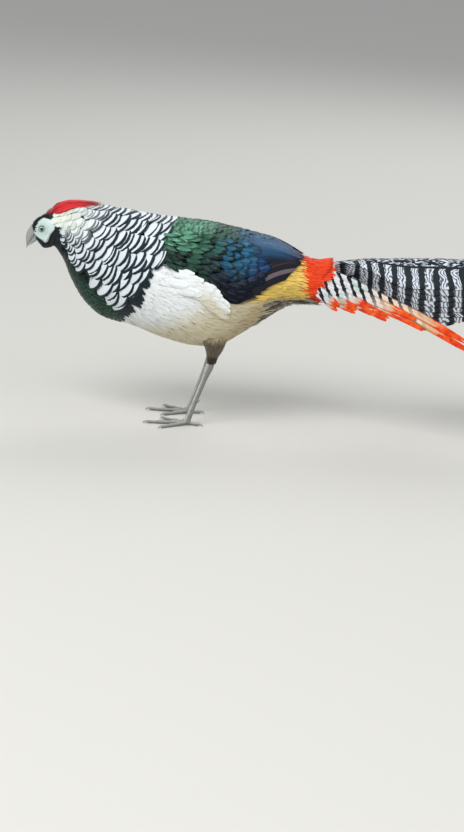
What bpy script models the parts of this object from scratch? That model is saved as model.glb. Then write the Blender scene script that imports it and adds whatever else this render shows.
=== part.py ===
# Male Lady Amherst's pheasant, life size, standing with its head low and its long tail held straight back.
# Metres, +Z up. The bill points along -X, the tail along +X, and the bird's left side is -Y.
# While it is modelled the origin is the point on the floor between the feet; the last step moves the
# whole bird so that the middle of its box stands over the origin.
import math

import bmesh
import bpy
import numpy as np
from mathutils import Matrix, Vector

GAP = 0.00035            # clearance between two pieces that touch
VANE_THICK = 0.0006      # a feather vane with its shaft
CAPE_DEPTH = 0.003       # how deep the cape's core lies under the outline
WING_DEPTH = 0.005       # how deep the torso lies under the folded wing

# Head, neck, body and rump as cross-sections from the head back to the tail's root:
# back x and z, belly x and z, half width
BODY = [
    (-0.176, 0.272, -0.187, 0.223, 0.017),
    (-0.160, 0.278, -0.174, 0.205, 0.026),
    (-0.140, 0.279, -0.164, 0.183, 0.036),
    (-0.115, 0.277, -0.148, 0.158, 0.047),
    (-0.088, 0.274, -0.122, 0.136, 0.056),
    (-0.055, 0.2695, -0.082, 0.126, 0.063),
    (-0.020, 0.268, -0.040, 0.112, 0.066),
    (0.015, 0.266, 0.000, 0.104, 0.067),
    (0.045, 0.261, 0.035, 0.107, 0.064),
    (0.072, 0.256, 0.062, 0.124, 0.057),
    (0.098, 0.250, 0.084, 0.141, 0.047),
    (0.120, 0.240, 0.105, 0.157, 0.038),
    (0.138, 0.230, 0.124, 0.168, 0.030),
    (0.155, 0.226, 0.143, 0.171, 0.026),
    (0.175, 0.225, 0.165, 0.172, 0.024),
]
HEAD = [
    (-0.176, 0.272, -0.187, 0.223, 0.017),
    (-0.188, 0.2705, -0.193, 0.2215, 0.0158),
    (-0.199, 0.265, -0.199, 0.220, 0.0142),
    (-0.2125, 0.256, -0.2035, 0.2205, 0.0108),
    (-0.2185, 0.2495, -0.2105, 0.2275, 0.0068),
]
NECK_END = 4.75          # station where the neck's node meets the torso
TORSO_END = 12.0         # station where the torso meets the rump
RUMP_END = 14.0          # station where the rump meets the tail

EYE = (-0.2045, 0.0098, 0.2455)   # x, distance from the middle plane, z
EYE_RADIUS = 0.0046
LID_RADII = (0.0054, 0.0048)      # length and height of the lids' ring
LID_THICK = 0.0010
LID_OUT = 0.0026                  # how far out of the eye's centre the lids lie
BILL_TIP = (-0.2255, 0.2165)      # x, z
BILL_WIDTH = 0.0056               # half width of the upper bill at the face
BILL_ARCH = 0.0042                # how far the ridge of the bill bows out
LOWER_TIP = (-0.2236, 0.2182)     # x, z
LOWER_WIDTH = 0.0046
NOSTRIL = (-0.2178, 0.0048, 0.2418)
NOSTRIL_RADII = (0.0009, 0.0012, 0.0022)
LAPPET = (-0.2005, 0.0126, 0.2330)
LAPPET_RADII = (0.0042, 0.0024, 0.0078)

LEG_Y = 0.030            # half the spacing of the feet
HOCK = (0.0265, 0.084)   # x, z of the ankle joint
FOOT_X = -0.001          # where the toes meet
INSTEP = 0.0078          # height at which the shank stands on the foot
TAIL_LENGTH = 0.765      # along X, from the root to the tip of the middle pair
TAIL_START = 0.0105      # where the tail's face lies against the rump, along X from the root
ROOT_LEAN = 0.19         # slope of that face
TAIL_PAIRS = 9
WING_COLUMNS = 5


def smooth(t):
    t = min(max(t, 0.0), 1.0)
    return t * t * (3.0 - 2.0 * t)


def mix(a, b, t):
    return a + (b - a) * t


def curve_row(rows, u):
    # Catmull-Rom through the rows, with u counted in rows
    rows = np.asarray(rows, dtype=float)
    i = int(min(max(math.floor(u), 0), len(rows) - 2))
    t = u - i
    p1, p2 = rows[i], rows[i + 1]
    p0 = rows[i - 1] if i > 0 else 2 * p1 - p2
    p3 = rows[i + 2] if i + 2 < len(rows) else 2 * p2 - p1
    return 0.5 * (2 * p1 + (p2 - p0) * t + (2 * p0 - 5 * p1 + 4 * p2 - p3) * t**2
                  + (3 * p1 - p0 - 3 * p2 + p3) * t**3)


def section_point(row, degrees, lift=0.0):
    # A point on a cross-section: 90 is the back, 0 the left side, -90 the belly, 180 the right side
    back, belly = Vector((row[0], 0, row[1])), Vector((row[2], 0, row[3]))
    half = (back - belly) / 2
    a = math.radians(degrees)
    up = half * (1 + lift / half.length)
    return (back + belly) / 2 + up * math.sin(a) + Vector((0, -(row[4] + lift) * math.cos(a), 0))


def side_angle(degrees):
    # The same height on the left side, from -90 to 90
    return math.degrees(math.asin(math.sin(math.radians(degrees))))


def cape_edges(angle):
    # Stations of the cape's front and rear edge at a side angle
    front = mix(0.0, 4.3, max(0.0, (14 - angle) / 66))
    rear = 5.4 - 0.75 * max(0.0, (28 - angle) / 75) ** 1.4
    return front, rear


def wing_edges(u):
    # Side angles of the folded wing's lower and upper edge at a station
    low = 18 - 31 * smooth((u - 6.2) / 2.9) + 80 * smooth((u - 9.6) / 3.2) ** 1.5
    high = 58 + 14 * smooth((u - 9.0) / 3.0)
    return low, high


def cover(u, degrees):
    # Depth of the feathers that lie over the core here
    angle = side_angle(degrees)
    front, rear = cape_edges(angle)
    cape = smooth((u - front) / 0.5) * (1 - smooth((u - rear + 0.5) / 0.6)) * smooth((angle + 62) / 12)
    low, high = wing_edges(u)
    wing = smooth((angle - low) / 12) * smooth((high + 6 - angle) / 12)
    wing *= smooth((u - 5.4) / 0.5) * (1 - smooth((u - 11.6) / 0.8))
    return CAPE_DEPTH * cape + WING_DEPTH * wing


def on_body(u, degrees, lift=0.0):
    return section_point(curve_row(BODY, u), degrees, lift - cover(u, degrees))


# Collections and objects

def collection(name):
    made = bpy.data.collections.new(name)
    bpy.context.scene.collection.children.link(made)
    return made


def material(name, color, roughness, metallic=0.0):
    made = bpy.data.materials.new(name)
    made.use_nodes = True
    shader = made.node_tree.nodes["Principled BSDF"]
    shader.inputs["Base Color"].default_value = (*color, 1.0)
    shader.inputs["Roughness"].default_value = roughness
    shader.inputs["Metallic"].default_value = metallic
    return made


def add_object(name, bm, group, paint=None):
    bmesh.ops.recalc_face_normals(bm, faces=bm.faces[:])
    mesh = bpy.data.meshes.new(name)
    bm.to_mesh(mesh)
    bm.free()
    mesh.shade_smooth()
    mesh.set_sharp_from_angle(angle=math.radians(40))
    made = bpy.data.objects.new(name, mesh)
    group.objects.link(made)
    if paint:
        mesh.materials.append(paint)
    return made


def loft(place, around, along):
    # A closed tube with flat ends: place(turn, t) gives the point, both running from 0 to 1
    bm = bmesh.new()
    bmesh.ops.create_grid(bm, x_segments=around, y_segments=along, size=1.0)
    for vert in bm.verts:
        vert.co = place((vert.co.x + 1) / 2, (vert.co.y + 1) / 2)
    bmesh.ops.remove_doubles(bm, verts=bm.verts[:], dist=0.00001)
    open_edges = [edge for edge in bm.edges if edge.is_boundary]
    bmesh.ops.holes_fill(bm, edges=open_edges, sides=0)
    bmesh.ops.triangulate(bm, faces=bm.faces[:])
    return bm


def body_length(name, first, last, around, along, group, paint, lift=0.0):
    # One length of the body between two stations, its end faces GAP/2 inside them
    def place(turn, t):
        u = mix(first, last, t)
        point = on_body(u, turn * 360, lift)
        ahead = curve_row(BODY, u + 0.01) - curve_row(BODY, u - 0.01)
        axis = Vector((ahead[0] + ahead[2], 0, ahead[1] + ahead[3])).normalized()
        return point + axis * (GAP / 2) * ((t < 0.001) - (t > 0.999))
    return add_object(name, loft(place, around, along), group, paint)


def tube(name, points, radii, sides, group, paint=None, flat=1.0):
    # A round tube with closed ends through a few points, flat is its depth against its width
    points = [Vector(p) for p in points]
    count = len(points) - 1

    def place(turn, t):
        i = round(t * count)
        ahead = points[min(i + 1, count)] - points[max(i - 1, 0)]
        across = Vector((0, 1, 0)) if abs(ahead.normalized().y) < 0.9 else Vector((0, 0, 1))
        u = across.cross(ahead).normalized()
        v = ahead.cross(u).normalized()
        a = turn * math.tau
        return points[i] + radii[i] * (u * math.cos(a) + v * math.sin(a) * flat)
    return add_object(name, loft(place, sides, count), group, paint)


def boolean(target, operation, operand):
    # Applies one Boolean with an object or a collection of closed meshes
    modifier = target.modifiers.new(operation.lower(), "BOOLEAN")
    modifier.operation = operation
    modifier.solver = "MANIFOLD"
    if isinstance(operand, bpy.types.Collection):
        modifier.operand_type = "COLLECTION"
        modifier.collection = operand
    else:
        modifier.object = operand
    shaped = bpy.data.meshes.new_from_object(target.evaluated_get(bpy.context.evaluated_depsgraph_get()))
    target.modifiers.clear()
    old = target.data
    target.data = shaped
    bpy.data.meshes.remove(old)


def remove_all(group):
    for thing in list(group.objects):
        mesh = thing.data
        bpy.data.objects.remove(thing)
        bpy.data.meshes.remove(mesh)
    bpy.data.collections.remove(group)


def keep_largest(target):
    # Keeps the closed surface that holds the most space
    bm = bmesh.new()
    bm.from_mesh(target.data)
    left = set(bm.verts)
    shells = []
    while left:
        shell, edge_of = set(), [left.pop()]
        while edge_of:
            vert = edge_of.pop()
            shell.add(vert)
            near = [edge.other_vert(vert) for edge in vert.link_edges]
            edge_of += [v for v in near if v in left]
            left.difference_update(near)
        faces = {face for vert in shell for face in vert.link_faces}
        volume = sum(face.calc_center_median().dot(face.normal) * face.calc_area() for face in faces)
        shells.append((volume, shell))
    best = max(shells, key=lambda item: item[0])[1]
    bmesh.ops.delete(bm, geom=[vert for vert in bm.verts if vert not in best], context="VERTS")
    bm.to_mesh(target.data)
    bm.free()


def fuse(target, pieces):
    boolean(target, "UNION", pieces)
    remove_all(pieces)
    keep_largest(target)


def cut(target, cutter):
    boolean(target, "DIFFERENCE", cutter)
    keep_largest(target)


def mirrored(thing, name, group):
    # The same piece on the bird's other side
    mesh = thing.data.copy()
    mesh.transform(Matrix.Diagonal((1, -1, 1, 1)))
    mesh.flip_normals()
    made = bpy.data.objects.new(name, mesh)
    group.objects.link(made)
    return made


# Feathers: each is a vane laid along a path on a surface, its root under the surface and its tip above it.
# A surface is a function of two coordinates and a lift, with a step for each coordinate's slope.

BODY_STEPS = (0.02, 1.0)
TAIL_STEPS = (0.0005, 0.0005)


def slopes(place, steps, p, q):
    ahead = (place(p + steps[0], q) - place(p - steps[0], q)) / (2 * steps[0])
    over = (place(p, q + steps[1]) - place(p, q - steps[1])) / (2 * steps[1])
    return ahead, over


def surface_step(ahead, over, move):
    # Coordinates' changes that move a point by a small vector in the surface
    a, b, c = ahead.dot(ahead), ahead.dot(over), over.dot(over)
    e, f = ahead.dot(move), over.dot(move)
    det = a * c - b * b
    return (e * c - f * b) / det, (a * f - b * e) / det


def vane(name, place, steps, path, half_width, lift, across, along, group, thick=VANE_THICK, bunch=1.6):
    # path(t) gives the shaft's coordinates, half_width(t) and lift(t, v) the shape, v running from -1 to 1.
    # bunch sets the rows of faces closer together near the root, which dips steeply into the core.
    bm = bmesh.new()
    bmesh.ops.create_grid(bm, x_segments=across, y_segments=along, size=1.0)
    top = {}
    for vert in bm.verts:
        v, t = vert.co.x, ((vert.co.y + 1) / 2) ** bunch
        (p, q), (p0, q0), (p1, q1) = path(t), path(max(t - 0.02, 0)), path(min(t + 0.02, 1))
        ahead, over = slopes(place, steps, p, q)
        run = ahead * (p1 - p0) + over * (q1 - q0)
        aside = ahead.cross(over).cross(run).normalized() * half_width(t) * v
        dp, dq = surface_step(ahead, over, aside)
        rise = lift(t, v)
        vert.co = place(p + dp, q + dq, rise)
        top[tuple(vert.co)] = place(p + dp, q + dq, rise + thick * (1 - 0.35 * t))
    bmesh.ops.triangulate(bm, faces=bm.faces[:])
    raised = bmesh.ops.extrude_face_region(bm, geom=bm.faces[:])
    for vert in raised["geom"]:
        if isinstance(vert, bmesh.types.BMVert):
            vert.co = top[tuple(vert.co)]
    bmesh.ops.triangulate(bm, faces=bm.faces[:])
    return add_object(name, bm, group)


def blade(t, root, wide, tip, widest=0.55):
    # Half width of a vane: narrow at its root, widest past the middle and rounded at its tip
    if t < widest:
        return mix(root, wide, smooth(t / widest))
    return tip + (wide - tip) * math.sqrt(max(0.0, 1 - ((t - widest) / (1 - widest)) ** 2))


def shingle(t, v):
    # Height of a short feather over its core: the root dips in, the rest rises gently to the tip
    return mix(-0.0016, 0.0005, t / 0.3) if t < 0.3 else mix(0.0005, 0.0027, (t - 0.3) / 0.7)


def cape_row(top, angle):
    # Station of a row of the cape, which slants forward down the side
    down = 90 - angle
    return top - 0.019 * down - 0.00012 * down**2


def cape_feathers(group):
    # Rows of vanes that overlap like tiles, pointing back at the nape and back and down on the sides
    top, row = 0.35, 0
    while top < 10.5:
        angle, count = 90.0, 0
        size = min(max(cape_row(top, 45) / 4.7, 0), 1)
        pitch = mix(0.0125, 0.0235, size)
        row_gap = mix(0.0115, 0.0185, size)
        while angle > -60:
            u = cape_row(top, angle)
            ahead, over = slopes(on_body, BODY_STEPS, u, angle)
            down = ahead * (cape_row(top, angle - 1) - cape_row(top, angle + 1)) / 2 - over
            if count == 0 and row % 2:
                angle -= pitch / 2 / down.length
                count = 1
                continue
            heading = down.cross(ahead.cross(over)).normalized()
            if heading.x < 0:
                heading.negate()
            length = row_gap * abs(heading.dot(ahead.normalized())) * 1.9
            dp, dq = surface_step(ahead, over, heading * length)
            front = cape_edges(angle)[0]
            rear = cape_edges(angle + dq)[1]
            if front + 0.6 < u < NECK_END - 0.16 and u + 0.34 * dp < NECK_END - 0.02 and u + dp < rear + 0.12:
                raised = 0.0012 if u + dp > NECK_END - 0.12 else 0
                name, half_width = f"cape_{row}_{count}", pitch * 0.46
                add_cape_feather(name, (u, angle), (dp, dq), half_width, raised, group)
                if angle < 89.9:
                    add_cape_feather(name + "_right", (u, 180 - angle), (dp, -dq), half_width, raised, group)
            angle -= pitch / down.length
            count += 1
        top += row_gap / slopes(on_body, BODY_STEPS, min(max(top, 0.1), 5), 90)[0].length
        row += 1


def add_cape_feather(name, root, step, half_width, raised, group):
    # The vanes that reach over the torso are raised, so that they stay clear of it
    def path(t):
        return root[0] + step[0] * t, root[1] + step[1] * t
    vane(name, on_body, BODY_STEPS, path, lambda t: blade(t, half_width * 0.8, half_width, half_width * 0.45),
         lambda t, v: shingle(t, v) + raised * min(t / 0.3, 1), 1, 2, group, 0.0008)


# The tail's roof: d runs back from the root, s runs down from the ridge, negative on the left side

def on_tail(d, s, lift=0.0):
    ridge_z = 0.2255 + 0.1456 * d - 0.3458 * d * d
    radius = mix(0.022, 0.020, smooth(d / 0.09))
    steepest = math.radians(mix(86, 56, smooth(d / 0.12)))
    side, s = math.copysign(1, s), abs(s)
    angle = min(s / radius, steepest)
    beyond = max(0.0, s - radius * steepest)
    y = radius * math.sin(angle) + beyond * math.cos(steepest) + lift * math.sin(angle)
    z = lift * math.cos(angle) - radius * (1 - math.cos(angle)) - beyond * math.sin(steepest)
    lean = ROOT_LEAN * (1 - smooth((d - TAIL_START) / 0.05))
    return Vector((0.165 + d + z * lean, side * y, ridge_z + z))


def tail_core(group, paint):
    # The fleshy root that carries the tail feathers' quills
    def place(turn, t):
        d = mix(TAIL_START, 0.056, t)
        ridge = on_tail(d, 0.0)
        drop = mix(0.0165, 0.0110, t)
        half_width = mix(0.0180, 0.0050, t**1.6)
        half_height = mix(0.0150, 0.0040, t**1.6)
        a = turn * math.tau
        z = half_height * math.sin(a) - drop
        lean = ROOT_LEAN * (1 - smooth((d - TAIL_START) / 0.05))
        return ridge + Vector((z * lean, half_width * math.cos(a), z))
    return add_object("tail", loft(place, 20, 5), group, paint)


def tail_feather_half_width(d, length, wide):
    t = d / length
    body = mix(0.003, wide, smooth((d - 0.012) / 0.11)) * (1 - 0.30 * smooth((t - 0.35) / 0.5))
    return body * math.sqrt(max(0.02, 1 - max(0.0, (t - 0.80) / 0.205) ** 2))


def tail_feathers(group):
    # Nine on each side: the middle pair longest and on top, the others shorter, lower and further in
    for i in range(TAIL_PAIRS):
        length = TAIL_LENGTH * math.exp(-0.34 * i**0.75)
        wide = 0.0248 if i == 0 else 0.0205 - 0.0006 * i
        for side in (-1, 1):
            def path(t):
                d = mix(0.016, length, t)
                half = tail_feather_half_width(d, length, wide)
                root, spread = 0.0035 + 0.0017 * i, 0.030 + 0.008 * i
                centre = half + 0.0008 if i == 0 else mix(root, spread, smooth((d - 0.012) / 0.14))
                return d, side * centre

            def lift(t, v):
                return -(0.0010 + 0.0021 * i + 0.0018 * (1 - smooth(t * length / 0.05)))
            across, along = (3, 8) if i == 0 else (2, 4)
            vane(f"tail_{i}_{side}", on_tail, TAIL_STEPS, path,
                 lambda t: tail_feather_half_width(mix(0.016, length, t), length, wide),
                 lift, across, along, group, VANE_THICK, 1.5)


def rump_coverts(group):
    # Short flame-coloured feathers over the tail's root, and long drooping ones down each side
    for k in range(-3, 4):
        def path(t):
            return mix(-0.014, 0.020 - 0.002 * abs(k), t), k * mix(0.0068, 0.0086, t)

        def lift(t, v):
            return mix(-0.0035, 0.0018, t / 0.45) if t < 0.45 else mix(0.0018, 0.0032, (t - 0.45) / 0.55)
        vane(f"covert_{k}", on_tail, TAIL_STEPS, path, lambda t: blade(t, 0.0028, 0.0036, 0.002),
             lift, 1, 3, group, 0.0008)
    tips = [(0.050, 0.068), (0.074, 0.084), (0.130, 0.104), (0.196, 0.127)]
    for side in (-1, 1):
        for k, (reach, drop) in enumerate(tips):
            def path(t):
                return mix(-0.012, reach, t), side * mix(0.047 - 0.0100 * k, drop, t**1.15)

            def lift(t, v):
                d = mix(-0.012, reach, t)
                return mix(-0.0040, 0.0060 - 0.0014 * k, smooth((d + 0.012) / 0.034))
            vane(f"long_covert_{k}_{side}", on_tail, TAIL_STEPS, path,
                 lambda t: blade(t, 0.0026, 0.0058, 0.0015), lift, 1, 4, group, 0.0008)


def wing_core(name, group, paint):
    # The folded arm under the coverts, thin at its edges
    def place(turn, t):
        u = mix(5.75, 10.2, t)
        low, high = wing_edges(u)
        outer = turn <= 0.5
        w = turn * 2 if outer else 2 - turn * 2
        edge = smooth(min(w, 1 - w, t * 1.5, (1 - t) * 1.5) * 5)
        angle = mix(low + 2 + 5 * smooth(t), high - 3, w)
        return on_body(u, angle, mix(0.0007, 0.0022, edge) if outer else -0.0020)
    return add_object(name, loft(place, 16, 9), group, paint)


def wing_column(share):
    # A line along the wing, at a share of the way from its lower to its upper edge
    def angle(u):
        low, high = wing_edges(u)
        return mix(low, high, share)
    return angle


def wing_feather(name, start, end, angle, fill, heights, slope, along, group):
    # fill is the width against the space between columns, heights are those just past the root and at the
    # tip, and slope lifts the lower edge over the feather below
    low, high = heights

    def path(t):
        u = mix(start, end, t)
        return u, angle(u)

    def lift(t, v):
        rise = mix(-0.0014, low, t / 0.2) if t < 0.2 else mix(low, high, min(1, (t - 0.2) / 0.4))
        return rise + slope * (1 - v) / 2 * min(1.0, t / 0.2)

    def half_width(t):
        u = mix(start, end, t)
        edges = [on_body(u, side) for side in wing_edges(u)]
        return blade(t, 0.75, 1.0, 0.5) * fill / 2 * (edges[1] - edges[0]).length / WING_COLUMNS
    vane(name, on_body, BODY_STEPS, path, half_width, lift, 1, along, group, VANE_THICK)


def wing_feathers(group):
    # Three tiers of coverts and the secondaries in the same columns, and the primaries' tips under them
    tiers = ((5.85, 7.0, 0.0030), (6.7, 7.95, 0.0034), (7.55, 8.9, 0.0038))
    for k in range(WING_COLUMNS):
        share = (k + 0.5) / WING_COLUMNS
        angle = wing_column(share)
        extra = 0.0003 * k
        for tier, (start, end, high) in enumerate(tiers):
            heights = (0.0008 + extra, high + extra)
            wing_feather(f"covert_{tier}_{k}", start, end, angle, 1.15, heights, 0.0026, 2, group)
        tip = 9.6 + 2.7 * math.sin(share * math.pi / 2) ** 0.8
        heights = (0.0008 + extra, 0.0040 + extra)
        wing_feather(f"secondary_{k}", 8.0, tip, angle, 1.1, heights, 0.0026, 3, group)
    for k in range(3):
        angle = wing_column(0.10 + 0.17 * k)
        wing_feather(f"primary_{k}", 9.0, 11.5 + 0.35 * k, angle, 0.8, (0.0010, 0.0013 + 0.0004 * k),
                     0.0006, 3, group)


def nape_height(x):
    # Height of the crown and nape line
    backs = [row[:2] for row in reversed(HEAD)] + [row[:2] for row in BODY[1:6]]
    return float(np.interp(x, [back[0] for back in backs], [back[1] for back in backs]))


def on_crown(x, y, lift=0.0):
    # The crown and nape as a surface over x and y, for the crest
    radius = mix(0.009, 0.026, smooth((x + 0.190) / 0.045))
    return Vector((x, y, nape_height(x) - y * y / (2 * radius) + lift))


def crest_feathers(group):
    # Narrow silky vanes in three layers, rooted on the crown and lying back over the nape
    layers = [(5, 0.0042, -0.1930, -0.1330), (4, 0.0040, -0.1990, -0.1275), (3, 0.0036, -0.2035, -0.1350)]
    for layer, (count, spacing, root, tip) in enumerate(layers):
        for k in range(count):
            y = (k - (count - 1) / 2) * spacing
            end = tip - 0.004 * abs(y) / spacing

            def path(t):
                return mix(root, end, t), y * (1 - 0.25 * t)

            def lift(t, v):
                high = 0.0028 + 0.0021 * layer
                return mix(-0.0025, high, smooth(t / 0.32)) + 0.0006 * t
            vane(f"crest_{layer}_{k}", on_crown, TAIL_STEPS, path, lambda t: blade(t, 0.0012, 0.0017, 0.0006),
                 lift, 1, 4, group, 0.0008, 1.0)


def ring(name, centre, radii, thick, around, sides, group):
    # A closed oval ring that faces sideways, for the eyelids
    def place(turn, t):
        a, b = turn * math.tau, t * math.tau
        reach = 1 + thick / radii[0] * math.cos(b)
        across, up = radii[0] * reach * math.cos(a), radii[1] * reach * math.sin(a)
        return centre + Vector((across, thick * math.sin(b), up))
    return add_object(name, loft(place, around, sides), group)


def pebble(name, centre, radii, lean, around, rows, group):
    # An oval lump with three radii, leaning in the side view
    bm = bmesh.new()
    bmesh.ops.create_uvsphere(bm, u_segments=around, v_segments=rows, radius=1.0)
    place = Matrix.Translation(centre) @ Matrix.Rotation(math.radians(lean), 4, "Y")
    bmesh.ops.transform(bm, matrix=place @ Matrix.Diagonal((*radii, 1.0)), verts=bm.verts[:])
    return add_object(name, bm, group)


def build_head(group, paint, spare):
    def place(turn, t):
        row = curve_row(HEAD, t * (len(HEAD) - 1))
        point = section_point(row, turn * 360)
        return point - Vector((GAP / 2, 0, 0)) * (t < 0.001)
    head = add_object("head", loft(place, 18, 8), group, paint)
    crest_feathers(spare)
    for side in (-1, 1):
        lids = Vector((EYE[0], side * (EYE[1] + LID_OUT), EYE[2]))
        ring(f"lids_{side}", lids, LID_RADII, LID_THICK, 16, 6, spare)
        lappet = Vector((LAPPET[0], side * LAPPET[1], LAPPET[2]))
        pebble(f"lappet_{side}", lappet, LAPPET_RADII, -28, 10, 7, spare)
    fuse(head, spare)
    return head


def face_point(share):
    # A point on the bill's base, from the forehead at 0 to the throat at 1, just clear of the face
    top, low = Vector((HEAD[-1][0], HEAD[-1][1])), Vector((HEAD[-1][2], HEAD[-1][3]))
    down = (low - top).normalized()
    return top.lerp(low, share) + Vector((down.y, -down.x)) * GAP * 1.5


def bill_half(name, base_top, base_low, tip, width, arch, hold, group, paint):
    # A mandible: an oval at the face that narrows along a curve to its tip, arched on its upper side.
    # It thins towards the mouth's line, which is its upper edge for hold 1 and its lower edge for hold -1.
    def place(turn, t):
        top = Vector((base_top[0], 0, base_top[1]))
        low = Vector((base_low[0], 0, base_low[1]))
        end = Vector((tip[0], 0, tip[1]))
        back = top.lerp(end, t) + Vector((-arch, 0, arch * 0.3)) * math.sin(math.pi * t)
        front = low.lerp(end, t)
        thin = 0.93 * t**4
        half = (back - front) / 2
        a = turn * math.tau
        half_width = width * (1 - t**1.6) + 0.0004
        middle = (back + front) / 2 + half * thin * hold
        return middle + half * (1 - thin) * math.sin(a) + Vector((0, half_width * math.cos(a), 0))
    return add_object(name, loft(place, 10, 5), group, paint)


def build_eye(name, side, group, paint):
    bm = bmesh.new()
    bmesh.ops.create_uvsphere(bm, u_segments=10, v_segments=7, radius=EYE_RADIUS)
    place = Matrix.Translation((EYE[0], side * EYE[1], EYE[2])) @ Matrix.Rotation(math.radians(90), 4, "X")
    bmesh.ops.transform(bm, matrix=place, verts=bm.verts[:])
    return add_object(name, bm, group, paint)


def build_thigh(name, side, group, paint, trims):
    points = [(0.014, side * 0.030, 0.140), (0.020, side * 0.031, 0.120), (0.0245, side * 0.0305, 0.104),
              (0.0262, side * LEG_Y, 0.0940), (HOCK[0], side * LEG_Y, HOCK[1] - 0.003)]
    thigh = tube(name, points, [0.022, 0.0185, 0.0115, 0.0068, 0.0050], 14, group, paint)
    for cutter in trims:
        cut(thigh, cutter)
    return thigh


def build_shank(name, side, group, paint, spare, trims):
    foot = Vector((FOOT_X, side * LEG_Y, INSTEP - 0.003))
    hock = Vector((HOCK[0], side * LEG_Y, HOCK[1] + 0.003))
    steps = [(0.0, 0.0046), (0.05, 0.0056), (0.12, 0.0052), (0.3, 0.0036), (0.7, 0.0034), (0.92, 0.0042),
             (1.0, 0.0046)]
    points = [hock.lerp(foot, t) for t, _ in steps]
    shank = tube(name, points, [r for _, r in steps], 10, group, paint)
    root = hock.lerp(foot, 0.68)
    inward = Vector((0.6, -0.8 * side, 0.0)).normalized()
    spur = [root, root + inward * 0.006, root + inward * 0.0115 + Vector((0, 0, 0.0015))]
    tube(name + "_spur", spur, [0.0024, 0.0018, 0.0004], 8, spare)
    fuse(shank, spare)
    for cutter in trims:
        cut(shank, cutter)
    return shank


def toe_points(side, heading, length, joints):
    # A toe from the ball of the foot: it arches a little at each joint and ends in a claw
    a = math.radians(heading)
    out = Vector((-math.cos(a), side * math.sin(a), 0))
    ball = Vector((FOOT_X, side * LEG_Y, 0.0042))
    points, radii = [ball], [0.0036]
    for k in range(1, joints + 1):
        t = k / joints
        radius = mix(0.0032, 0.0022, t)
        points.append(ball + out * length * (t - 0.4 / joints) + Vector((0, 0, radius * 0.96 - 0.0042)))
        radii.append(radius * 0.84)
        points.append(ball + out * length * t + Vector((0, 0, radius * 0.9 - 0.0042)))
        radii.append(radius)
    points.append(ball + out * (length + 0.004) + Vector((0, 0, 0.0022 - 0.0042)))
    radii.append(0.0015)
    points.append(ball + out * (length + 0.009) + Vector((0, 0, 0.0007 - 0.0042)))
    radii.append(0.0004)
    return points, radii


def build_foot(name, side, group, paint, spare, trims):
    bm = bmesh.new()
    bmesh.ops.create_uvsphere(bm, u_segments=10, v_segments=6, radius=0.0056)
    place = Matrix.Translation((FOOT_X, side * LEG_Y, 0.0045)) @ Matrix.Diagonal((1.1, 1.0, 0.8, 1.0))
    bmesh.ops.transform(bm, matrix=place, verts=bm.verts[:])
    foot = add_object(name, bm, group, paint)
    toes = [("inner", -32, 0.034, 2), ("middle", 4, 0.049, 3), ("outer", 38, 0.037, 3),
            ("hind", 172, 0.013, 1)]
    for toe, heading, length, joints in toes:
        points, radii = toe_points(side, heading, length, joints)
        tube(f"{name}_{toe}", points, radii, 6, spare)
    fuse(foot, spare)
    for cutter in trims:
        cut(foot, cutter)
    return foot


def level_block(name, low, high, group):
    # A wide block between two heights, which trims a piece level
    bm = bmesh.new()
    bmesh.ops.create_cube(bm, size=1.0)
    place = Matrix.Translation((0, 0, (low + high) / 2)) @ Matrix.Diagonal((0.4, 0.4, high - low, 1.0))
    bmesh.ops.transform(bm, matrix=place, verts=bm.verts[:])
    return add_object(name, bm, group)


def centre_on_floor(group):
    # Moves the whole bird so that the middle of its box stands over the origin
    corners = np.array([vert.co[:] for thing in group.objects for vert in thing.data.vertices])
    low, high = corners.min(axis=0), corners.max(axis=0)
    shift = Vector((-(low[0] + high[0]) / 2, -(low[1] + high[1]) / 2, -low[2]))
    for thing in group.objects:
        thing.data.transform(Matrix.Translation(shift))


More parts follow.
